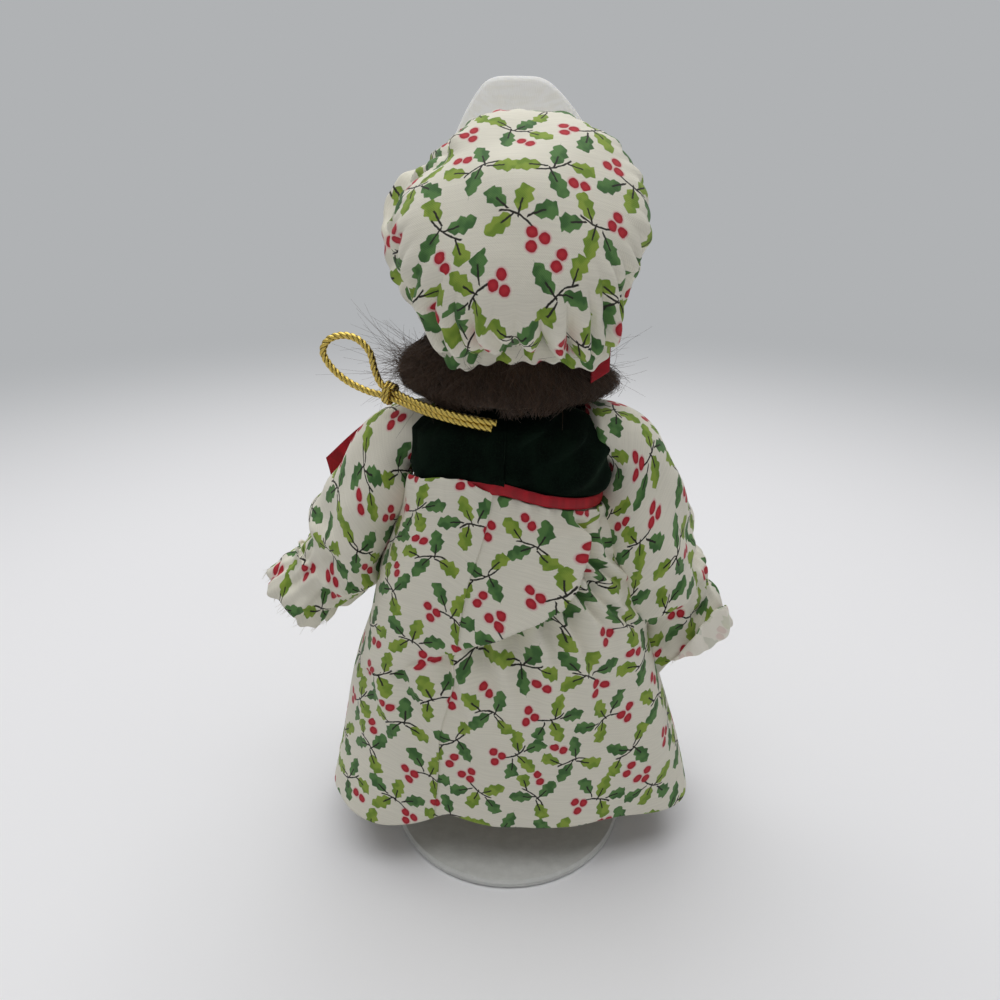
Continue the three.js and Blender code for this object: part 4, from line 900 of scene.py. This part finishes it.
bodice, sash = make_bodice(), make_waist_ribbon()
make_skirt()
left_sleeve = make_sleeve(
    "left", 1, splay=26.5, cuff_splay=48, cuff_length=10.2,
    bag=2.2, curl=0.0, short=0.4, fat=1.0, flare=7.8, head=0.0,
)
right_sleeve = make_sleeve(
    "right", -1, splay=17.5, cuff_splay=13.5, cuff_length=19,
    bag=6.0, curl=1.1, short=3.5, fat=1.12, flare=8.8, head=4.2,
)


def fibres(name, paths, radius, materials, tones, sides=3):
    """Many thin tapered fibres as one mesh, along paths over (fibres, points, 3)."""
    count, points = paths.shape[:2]
    along = unit(np.gradient(paths, axis=1) + 1e-12)
    side = unit(np.cross(along, rng.normal(size=(count, 1, 3))) + 1e-12)
    over = np.cross(along, side)
    angle = circle(sides)[0][:, None]
    taper = radius * np.linspace(1, 0.35, points)[None, :, None, None]
    verts = paths[:, :, None] + taper * (cos(angle) * side[:, :, None] + sin(angle) * over[:, :, None])
    quads = grid_faces(points, sides, True, False).reshape(-1, 4)
    offset = np.arange(count)[:, None, None] * points * sides
    faces = (quads + offset).reshape(-1, 4).tolist()
    faces += (np.array(end_faces(points, sides, False)) + offset).reshape(-1, sides).tolist()
    obj = make(name, verts, faces, materials)
    tone = obj.data.attributes.new("tone", "FLOAT", "POINT")
    tone.data.foreach_set("value", np.repeat(tones, points * sides).astype(np.float32))
    return obj


def make_fray(name, cloth, along, count):
    """Loose threads along a sleeve's raw edge."""
    starts = cloth[-2, rng.integers(0, cloth.shape[1], count)]
    t = np.linspace(0, 1, 6)[None, :, None]
    reach = rng.uniform(0.5, 1.9, (count, 1, 1))
    drift = rng.normal(0, 0.45, (count, 1, 3))
    paths = starts[:, None] + t * reach * along[-1] + t**2 * drift
    obj = fibres("fray_" + name, paths, FRAY_RADIUS, THREAD, rng.uniform(0, 1, count))
    placed(obj, "arm_" + name, "thread")


make_fray("left", *left_sleeve, 70)
make_fray("right", *right_sleeve, 40)


# Cap.
def nape_taper(y, z):
    """The cap's gather draws in toward the nape."""
    return 1 - 0.2 * smooth(y, 1, 17) * fade(z, 0.5, 9)


def ring_power(angle):
    """The gather is squarer across the nape than round the face."""
    return lerp(RING_POWER, 4.6, smooth(sin(angle), 0.2, 0.8))


# Where the crown is drawn in or stands out: (direction in the doll's frame, amount, spread in radians).
CROWN_FORM = [
    ((0.0, -0.15, 1.0), -2.4, 0.6), ((0.8, -0.2, 0.57), -4.2, 0.48), ((0.9, 0.3, -0.3), -1.0, 0.45),
    ((-0.85, 0.4, -0.4), -0.6, 0.45), ((-0.95, 0.25, 0.1), 0.9, 0.4), ((0.636, -0.085, 0.767), 1.3, 0.12),
    ((-0.1, 0.95, 0.3), 0.6, 0.5),
]


def cap_to_doll(points):
    x, y, z = np.moveaxis(points, -1, 0)
    return joined(x, y * TILT_COS - z * TILT_SIN, y * TILT_SIN + z * TILT_COS) + CAP_ORIGIN


def settled(points):
    """The cap in the doll's frame. Its gather sits level across the nape, a little to the doll's right."""
    low = smooth(points[..., 1], 6, 15) * fade(points[..., 2], 0.5, 9)
    doll = cap_to_doll(points)
    doll[..., 0] -= 1.6 * low
    doll[..., 2] += low * (1.6 - 2.6 * smooth(np.abs(points[..., 0]), 4, 12.5))
    return doll


def make_crown():
    rows, cols = 96, 260
    share = np.linspace(0, 2, rows)[:, None]
    angle = circle(cols)
    top = share < 1
    arc = np.where(top, share, 2 - share) * math.pi / 2
    radius = np.where(top, PUFF_WIDTH * sin(arc), lerp(RING_WIDTH, PUFF_WIDTH, sin(arc)))
    lower = lerp(CLOTH / 2, PUFF_LEVEL, 1 - cos(arc))
    z = np.where(top, lerp(PUFF_LEVEL, PUFF_HEIGHT, cos(arc)), lower)
    level = smooth(z, CLOTH / 2, PUFF_LEVEL)
    length = lerp(RING_LENGTH / RING_WIDTH, PUFF_LENGTH / PUFF_WIDTH, level)
    reach = squared(angle, lerp(ring_power(angle), 2.1, level))
    phase = 1.3 * sin(2 * angle + 0.4) + 0.7 * sin(5 * angle)
    near = fade(z, 6, 17) * smooth(share, 0.35, 1.0) * lerp(0.45, 1, smooth(sin(angle), -0.2, 0.6))
    near = np.maximum(near, fade(z, 3, 14) * smooth(share, 0.6, 1.2))
    gather = near * (2.6 * np.abs(cos(19 * angle + phase)) ** 0.7 - 1.8 + 0.6 * cos(23 * angle + 1.0))
    out = radius * reach + gather
    x, y = out * cos(angle), out * length * sin(angle)
    x = x * nape_taper(y, z)
    puff = 0.55 * ripples(x, y, z, scale=21, seed=12) * smooth(share, 0.0, 0.4) * (1 - 0.7 * near)
    puff += 0.22 * ripples(x, y, z, scale=9, seed=14) * smooth(share, 0.3, 0.9)
    points = joined(x, y, z)
    away = unit(points - PUFF_LEVEL * UP)
    for (dx, dy, dz), amount, spread in CROWN_FORM:
        toward = np.array([dx, dy * TILT_COS + dz * TILT_SIN, dz * TILT_COS - dy * TILT_SIN])
        toward /= math.hypot(dx, dy, dz)
        off = np.arccos(np.clip(away @ toward, -1, 1))
        puff += amount * hump(off, 0, spread) * fade(share, 1.4, 2.0)
    points = points + puff[..., None] * away
    fall = runs(points, 0).mean(1)[:, None]
    wrapped = np.linspace(0, TAU, cols + 1)[None]
    uv = joined(fall * cos(wrapped) + 9, fall * sin(wrapped) + 4)
    obj = grid("print_cap_crown", settled(points), PRINT, wrap=True, flip=True, uv=uv)
    edited(obj, lambda mesh: bmesh.ops.remove_doubles(mesh, verts=mesh.verts, dist=1e-7))
    return placed(thicken(obj, PRINT_THICK, inner=1), "head", "holly_print", "cap_crown")


def ring_edge(turn, out, rise):
    """Points beside the cap's gather, from a turn round it, a reach out of it and a rise above it."""
    angle = turn - math.pi / 2
    reach = squared(angle, ring_power(angle))
    level = CLOTH / 2 - GAP - 0.3
    y = (RING_LENGTH * reach + out) * sin(angle)
    x = (RING_WIDTH * reach + out) * cos(angle) * nape_taper(y, 0)
    return joined(x, y, level + rise)


# The frill's width and slope round the gather, in degrees from the middle of the face.
FRILL_START = math.radians(34.5)
FRILL_PLACES, FRILL_WIDTHS = [34, 50, 64, 90, 120, 150, 180], [3, 4.6, 6.0, 4.6, 3.3, 3.1, 3.1]
SLOPE_PLACES, FRILL_SLOPES = [34, 70, 100, 130, 180], [-16, -14, -44, -58, -46]
ELASTIC_RADIUS = 0.32


def make_frill():
    rows, cols = 14, 460
    turn = np.linspace(FRILL_START, TAU - FRILL_START, cols)[None]
    v = column(rows)
    around = 180 - np.abs(np.degrees(turn) - 180)
    nape = smooth(around, 60, 130)
    width = np.interp(around, FRILL_PLACES, FRILL_WIDTHS) * v
    slope = np.radians(np.interp(around, SLOPE_PLACES, FRILL_SLOPES))
    phase = 1.1 * sin(3 * turn) + 0.6 * sin(7 * turn + 1)
    wave = v**0.8 * (0.9 * (1 - nape) * cos(13 * turn) + 0.34 * nape * cos(34 * turn + phase))
    pleat = 0.32 * v * sin(34 * turn + phase) * lerp(0.4, 1, nape)
    tucked = (1 - v) ** 4
    out, rise = width * cos(slope) + pleat - 2.4 * tucked, width * sin(slope) + wave + 0.7 * tucked
    points = settled(ring_edge(turn, out, rise))
    uv = joined(RING_LENGTH * turn, width + 5.2)
    obj = grid("print_cap_frill", points, PRINT, flip=True, uv=uv)
    return placed(thicken(obj, FRILL_THICK, offset=0.0, inner=1), "head", "holly_print", "cap_frill")


BRIM_TURNS = [-41, -34, -12, -8, 6, 10, 22, 27]
BRIM_WIDTHS = [3.5, 5, 12.6, 13.2, 13.2, 12.4, 6.2, 4]
BRIM_RISE = math.radians(18)


def make_brim():
    rows, cols = 18, 60
    u = np.linspace(0, 1, cols)[None]
    v = column(rows)
    turn = lerp(BRIM_TURNS[0], BRIM_TURNS[-1], u)
    width = eased(np.interp(turn[0], BRIM_TURNS, BRIM_WIDTHS), 7, mode="edge")[None] * v
    lift = width * math.sin(BRIM_RISE) * v + 0.18 * sin(math.pi * v) * cos(5 * math.pi * u)
    points = ring_edge(np.radians(turn), width * math.cos(BRIM_RISE), lift)
    obj = thicken(grid("cream_cap_brim", cap_to_doll(points), CREAM), BRIM_THICK, offset=0.0)
    placed(obj, "head", "cream_cotton", "cap_brim")


def make_elastic():
    path = settled(ring_edge(np.linspace(0, TAU, 240), -0.9, -0.45))
    placed(tube("thread_cap_elastic", path, ELASTIC_RADIUS, THREAD, 8), "head", "thread", "cap_elastic")


make_elastic()
crown, frill = make_crown(), make_frill()
make_brim()


# Red ribbons.
def satin_strip(name, points, run, v, node):
    """A strip of ribbon over a grid, from its run along and its share v across."""
    obj = grid(name, points, SATIN, uv=joined(run, v - 0.5))
    thicken(obj, RIBBON_THICK, offset=0.0)
    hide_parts(node)
    return obj


def ribbon(name, path, facing, width, slant, node, seed, pinch=0.0):
    """A flat ribbon along a path, pinched at its start, with a slanted cut at its end."""
    rows, cols = 9, len(path)
    along = tangents(path)
    across = unit(np.cross(along, facing))
    v = column(rows)
    cut = slant * v if slant > 0 else -slant * (1 - v)
    share = np.clip(np.linspace(0, 1, cols)[None] * (1 - cut), 0, 1) * (cols - 1)
    low = np.minimum(share.astype(int), cols - 2)
    past = (share - low)[..., None]
    centre, cross, ahead = (lerp(a[low], a[low + 1], past) for a in (path, across, along))
    run = share / (cols - 1) * path_length(path)
    spread = 1 - pinch * fade(run, 0, 7)
    wave = 0.16 * ripples(run, 6 * (v + 0 * run), scale=8, seed=seed) * smooth(run, 0, 5)
    points = centre + cross * (width * spread * (v - 0.5))[..., None]
    points = points + wave[..., None] * np.cross(cross, ahead)
    return satin_strip(name, points, run, v, node)


BOW_LEVEL, BOW_Y = 91.4, -(BODICE_CHEST * DEPTH_RATIO + GAP + 1.6)
TAIL_TOP, TAIL_Y = BOW_LEVEL - 2.5, BOW_Y - 1.6 - GAP - 0.25
KNOT_HALF = (2.0, 1.6, 2.1)
TAIL_LEVEL = TAIL_TOP - RIBBON_WIDTH / 2
TAIL_ROOT = (BOW_Y + 0.2, BOW_LEVEL - 0.9)
SKIRT_FRONT = -(BODICE_HEM + GAP + 0.5) * DEPTH_RATIO - 0.5 - GAP
LEFT_TAIL = [
    (0.6, *TAIL_ROOT), (3.8, TAIL_Y, TAIL_LEVEL + 1.6), (12.6, TAIL_Y, TAIL_LEVEL + 0.2),
    (24.48, -12.75, TAIL_LEVEL), (38.0, -10.55, BOW_LEVEL - 15.2),
]
RIGHT_TAIL = [
    (-0.6, *TAIL_ROOT), (-2.6, TAIL_Y, TAIL_TOP - 0.9), (-5.4, SKIRT_FRONT - 0.4, 83.2),
    (-7.4, SKIRT_FRONT - 1.4, 76.6), (-9, SKIRT_FRONT - 2.2, 68.4),
]
CAP_TIE_TOP, CAP_TIE_OUT, CAP_TIE_WIDTH = HEAD_LEVEL - 2.6, SKULL[0] + 0.5 + GAP, 3.6
CAP_TIE = [(-CAP_TIE_OUT, 4, CAP_TIE_TOP), (-15.6, 6.6, CAP_TIE_TOP - 9.25), (-15.2, 8.4, CAP_TIE_TOP - 17)]


def make_bow_loop(name, side):
    u, v = np.linspace(0, 1, 70)[None], column(11)
    out = sin(math.pi * u)
    depth = 2.1 * cos(math.pi * u) * (0.4 + 0.6 * out)
    height = RIBBON_WIDTH * (v - 0.5) * (0.5 + 0.6 * out**0.8) + (1.3 * cos(math.pi * u) - 1.2) * out
    crease = 0.22 * cos(3 * math.pi * v) * (1 - out)
    x = side * (2.5 + 10.6 * out + 0.3 * cos(TAU * v) * out)
    points = joined(x, BOW_Y - depth - crease, BOW_LEVEL + height)
    loop = satin_strip("bow_loop_visual_" + name, points, runs(points, 1), v, "bow_loop_" + name)
    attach(loop, "torso")


def make_bow_knot():
    rows, cols = 40, 48
    tall = np.linspace(-1, 1, rows)[:, None]
    angle = circle(cols)
    barrel = 0.82 + 0.18 * cos(tall * math.pi / 2) - 0.35 * np.abs(tall) ** 6
    barrel = barrel * (1 + 0.05 * cos(5 * math.pi * tall) * sin(angle) ** 2)
    wide, deep, high = KNOT_HALF
    points = joined(wide * barrel * cos(angle), BOW_Y + deep * barrel * sin(angle), BOW_LEVEL + high * tall)
    uv = joined(np.linspace(0, 12, cols + 1)[None], 0.4 * tall)
    obj = grid("bow_knot_visual", points, SATIN, wrap=True, uv=uv)
    edited(obj, lambda mesh: bmesh.ops.holes_fill(mesh, edges=mesh.edges, sides=0))
    placed(obj, "torso", "red_satin", "bow_knot")


def make_ribbons():
    make_bow_loop("left", 1)
    make_bow_loop("right", -1)
    make_bow_knot()
    tail = spline(LEFT_TAIL, 90)
    tail = ribbon("bow_tail_visual_left", tail, -BACK, RIBBON_WIDTH, -0.06, "bow_tail_left", 41, 0.5)
    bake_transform(tail)
    tail = spline(RIGHT_TAIL, 70)
    tail = ribbon("bow_tail_visual_right", tail, -BACK, RIBBON_WIDTH, 0.1, "bow_tail_right", 43, 0.5)
    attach(tail, "torso")
    tie = spline(CAP_TIE, 60)
    tie = ribbon("cap_ribbon_visual", tie, np.array([0.45, -0.9, 0]), CAP_TIE_WIDTH, 0.12, "cap_ribbon", 45)
    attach(tie, "head")


make_ribbons()


# Head and wig.
# Relief of the face: (height, place across, place up, half width, half height), on a sphere of radius 1.
FACE_RELIEF = [
    (1.5, 0, -0.24, 0.1, 0.1), (0.75, 0, -0.1, 0.08, 0.16), (0.45, 0.1, -0.27, 0.06, 0.06),
    (-0.75, 0.34, -0.08, 0.17, 0.13), (0.55, 0.35, -0.095, 0.14, 0.09), (0.25, 0.34, 0.14, 0.24, 0.07),
    (0.8, 0.45, -0.42, 0.26, 0.22), (0.5, 0.05, -0.515, 0.1, 0.045), (0.55, 0, -0.6, 0.12, 0.05),
    (-0.3, 0, -0.55, 0.16, 0.02), (-0.35, 0, -0.68, 0.14, 0.05), (0.9, 0, -0.82, 0.2, 0.12),
]
# The flange neck's radius and height, from the flange up.
NECK = np.array([(7.0, 89.4), (7.0, 91.2), (5.2, 91.25), (5.2, 98.5), (5.6, 101), (7.2, 104), (8.6, 106)])
NECK_SIDES = 64
# The wig's half width at some heights below the skull.
NAPE_LEVELS = [93, 95, 97, 99, 101, 103, 106]
NAPE_WIDTHS = [9.5, 11.2, 12.4, 13.2, 13.4, 12.8, 11.4]
# The lowest hair at the back, over the cosine of its place.
HAIR_PLACES = [-0.8, -0.5, 0.04, 0.06, 0.5, 0.8]
HAIR_ENDS = [95, 94, 94, 95.6, 95.2, 94.2]
WIG_BOTTOM, WIG_THICK = 96.6, 0.8
STRAND_COUNT, STRAND_RADIUS = 4600, 0.075
FLYAWAY_COUNT, FLYAWAY_RADIUS = 1100, 0.038


def make_head():
    rows, cols = 150, 200
    polar = np.linspace(0.001, math.pi - 0.001, rows)[:, None]
    angle = circle(cols)
    nx, ny, nz = sin(polar) * cos(angle), sin(polar) * sin(angle), cos(polar)
    relief = 0
    for high, x, z, wide, tall in FACE_RELIEF:
        relief = relief + high * hump(np.abs(nx), x, wide) * hump(nz, z, tall)
    jaw = 1 - 0.16 * smooth(-nz, 0.1, 0.9)
    wide, deep, tall = HEAD_HALF
    y = ny * deep - relief * smooth(-ny, 0.1, 0.5)
    skull = joined(nx * wide * jaw, y, nz * tall + HEAD_LEVEL)
    ring = circle(NECK_SIDES)
    neck = joined(NECK[:, :1] * cos(ring), NECK[:, :1] * sin(ring), NECK[:, 1:])
    faces = []
    for first, count, around, flip in ((0, rows, cols, True), (rows * cols, len(NECK), NECK_SIDES, False)):
        faces += grid_faces(count, around, True, flip, first).reshape(-1, 4).tolist()
        faces += end_faces(count, around, flip, first)
    obj = make("porcelain_head", np.vstack([skull.reshape(-1, 3), neck.reshape(-1, 3)]), faces, FACE)
    obj.data.set_sharp_from_angle(angle=math.radians(50))
    placed(obj, "head", "porcelain", "head")


def wig_radius(z):
    """Half width of the wig at a height."""
    skull = SKULL[0] * np.sqrt(np.clip(1 - ((z - HEAD_LEVEL) / SKULL[2]) ** 2, 0.0, 1))
    nape = np.interp(z, NAPE_LEVELS, NAPE_WIDTHS)
    return np.where(z < 108, np.maximum(nape, skull), skull)


def wig_point(angle, z, lift):
    """A point on the wig, lifted off it. Its hair stands out at both sides of the nape."""
    r = wig_radius(z) + lift
    left, right = np.maximum(0, cos(angle)) ** 2, np.maximum(0, -cos(angle)) ** 2
    tuft = 5.2 * left * smooth(z, 94.5, 98.5) * fade(z, 103, 108)
    tuft = tuft + 6.0 * right * hump(z, 98, 3.2) * smooth(z, 94.5, 96.5)
    return np.stack([(r + tuft) * cos(angle), r * sin(angle) * SKULL[1] / SKULL[0], z], -1)


def make_wig():
    rows, cols = 60, 140
    z = lerp(WIG_BOTTOM, HEAD_LEVEL + SKULL[2] - 0.02, np.linspace(0, 1, rows) ** 0.8)[:, None]
    angle = np.linspace(0, TAU, cols)[None]
    points = wig_point(angle + 0 * z, z + 0 * angle, -0.5)
    waves = ripples(*np.moveaxis(points, 2, 0), scale=4, seed=51)
    points += 0.25 * waves[..., None] * np.array([1, 1, 0.4])
    x, y, height = np.moveaxis((points[:-1, :-1] + points[1:, 1:]) / 2, 2, 0)
    keep = ~((np.abs(x) < 10.2) & (y < -4) & (height < HEAD_LEVEL + 11.2))
    cap = thicken(grid("wig_cap", points, HAIR, keep=keep), WIG_THICK)
    placed(cap, "head", "wig_fibre", "wig")


def make_strands():
    """Hair from under the cap's gather down to the neck, parted round the face."""
    count, one = STRAND_COUNT, (STRAND_COUNT, 1)
    s = np.linspace(0, 1, 11)[None]
    ring = cap_to_doll(ring_edge(rng.uniform(0, TAU, count), -2.4, 1.0))
    place = np.arctan2(ring[:, 1] * SKULL[0] / SKULL[1], ring[:, 0])[:, None]
    front = np.abs(np.mod(place + math.pi / 2 + math.pi, TAU) - math.pi)
    sign = np.sign(cos(place)) + (cos(place) == 0)
    edge = math.radians(51) + rng.uniform(0, 0.4, one)
    drift = np.where(front < edge, (edge - front) * sign, 0) * smooth(s, 0.02, 0.45)
    lowest = np.interp(cos(place), HAIR_PLACES, HAIR_ENDS)
    lowest = lowest + 0.9 + 0.5 * sin(11 * place) + 0.4 * sin(19 * place + 1) + rng.exponential(1.3, one)
    end = np.where(sin(place) > 0.1, lowest, rng.uniform(95.5, 103.5, one))
    begin = np.minimum(ring[:, 2:], HEAD_LEVEL + SKULL[2] - 0.6)
    z = lerp(begin, np.minimum(end, begin - 3), s)
    sway, waves = rng.uniform(0.03, 0.14, one), rng.uniform(4, 11, one)
    curl = sway * sin(waves * s + rng.uniform(0, TAU, one))
    lift = rng.uniform(-0.3, 0.9, one) + rng.exponential(0.45, one) * smooth(s, 0.5, 1)
    paths = wig_point(place + drift + curl * smooth(s, 0.1, 0.6), z, lift)
    paths += rng.normal(0, 0.18, paths.shape) * smooth(s, 0.1, 0.4)[..., None]
    obj = fibres("wig_strands", paths, STRAND_RADIUS, HAIR, rng.uniform(0, 1, count))
    placed(obj, "head", "wig_fibre")


def make_flyaways():
    """Loose hairs, most of them at the left and right of the nape."""
    count = FLYAWAY_COUNT
    toward = rng.choice([0, 1, 2], count, p=[0.56, 0.26, 0.18])
    places = [rng.normal(0.35, 0.4, count), rng.normal(2.9, 0.4, count), rng.uniform(0.2, 2.9, count)]
    angle = np.choose(toward, places)
    root = wig_point(angle, rng.uniform(99.5, 105, count), 0.0)
    out = np.stack([cos(angle), sin(angle), rng.uniform(-0.5, 0.75, count)], -1)
    reach = rng.gamma(3.0, 0.95, (count, 1, 1)) * np.where(toward == 0, 1.15, 0.85)[:, None, None]
    t = np.linspace(0, 1, 9)[None, :, None]
    bend = rng.normal(0, 0.5, (count, 1, 3))
    paths = root[:, None] + reach * (t * out[:, None] + t**2 * bend)
    obj = fibres("wig_flyaways", paths, FLYAWAY_RADIUS, HAIR, rng.uniform(0.2, 1, count))
    placed(obj, "head", "wig_fibre")


make_head()
make_wig()
make_strands()
make_flyaways()


# Body, limbs and stand, in the CAD model's own shapes.
def copied(name, node, body, materials, slot, sharp, levels=1):
    return placed(welded_copy(name, node, materials, sharp, levels), body, slot, node)


def stuffed(node, body):
    copied("stuffed_" + node, node, body, MUSLIN, "muslin", 60)


stuffed("body_torso", "torso")
for limb in ("arm_left", "arm_right", "leg_left", "leg_right"):
    stuffed("upper_" + limb, limb)
copied("thread_neck_thread", "neck_thread", "torso", THREAD, "thread", 80)
for side in ("left", "right"):
    copied("thread_wrist_elastic_" + side, "wrist_elastic_" + side, "arm_" + side, THREAD, "thread", 80)
for side in ("left", "right"):
    copied("porcelain_hand_" + side, "forearm_" + side, "arm_" + side, PORCELAIN, "porcelain", 50)
    copied("porcelain_boot_" + side, "lower_leg_" + side, "leg_" + side, BOOTS, "porcelain", 50)
copied("stand_disc", "stand_base", "stand", STAND, "stand_white", 32, levels=0)
copied("stand_rod", "stand_wire", "stand", WIRE, "wire_white", 50, levels=0)


# Stage, in metres.
BACKDROP, SKY = srgb(176, 178, 180), (0.18, 0.18, 0.185, 1)
HAZE_START, HAZE_END = 0.16, 0.62
LAMP_AIM = Vector((0, 0, 0.08))


def make_floor():
    """A wide pale floor that fades into the backdrop."""
    n = new_material("stage", Roughness=0.9, Specular_IOR_Level=0.1)
    at = n.node("NewGeometry")
    n.color(n.mix(n.noise(at, 3.0), srgb(243, 243, 244), srgb(239, 239, 241)))
    haze = n.times(n.step(n.vector("LENGTH", at), HAZE_START, HAZE_END), n.direct())
    blend = n.node("MixShader", haze, n.shader.outputs[0], n.node("Emission", BACKDROP, 1.0))
    n.put(n.tree.nodes["Material Output"].inputs["Surface"], blend)
    ring = circle(48)
    radius = np.array([1.0, 300, 900, 4000])[:, None]
    points = joined(radius * cos(ring), radius * sin(ring), 0)
    grid("stage_floor", points, [n.owner], wrap=True, flip=True)


def add_lamp(name, place, size, power):
    lamp = bpy.data.objects.new(name, bpy.data.lights.new(name, "AREA"))
    lamp.data.energy, lamp.data.size = power, size
    lamp.location = place
    lamp.rotation_euler = (LAMP_AIM - Vector(place)).to_track_quat("-Z", "Y").to_euler()
    bpy.context.scene.collection.objects.link(lamp)


def light_world():
    bpy.context.scene.world = bpy.data.worlds.new("world")
    n = Nodes(bpy.context.scene.world, "Background")
    n.set("Color", n.mix(n.direct(), SKY, BACKDROP))


make_floor()
add_lamp("key", (0.04, -0.12, 0.75), size=1.0, power=6.2)
add_lamp("fill", (-0.25, 0.5, 0.4), size=0.5, power=0.12)
light_world()
bpy.context.scene.view_settings.view_transform = "Standard"
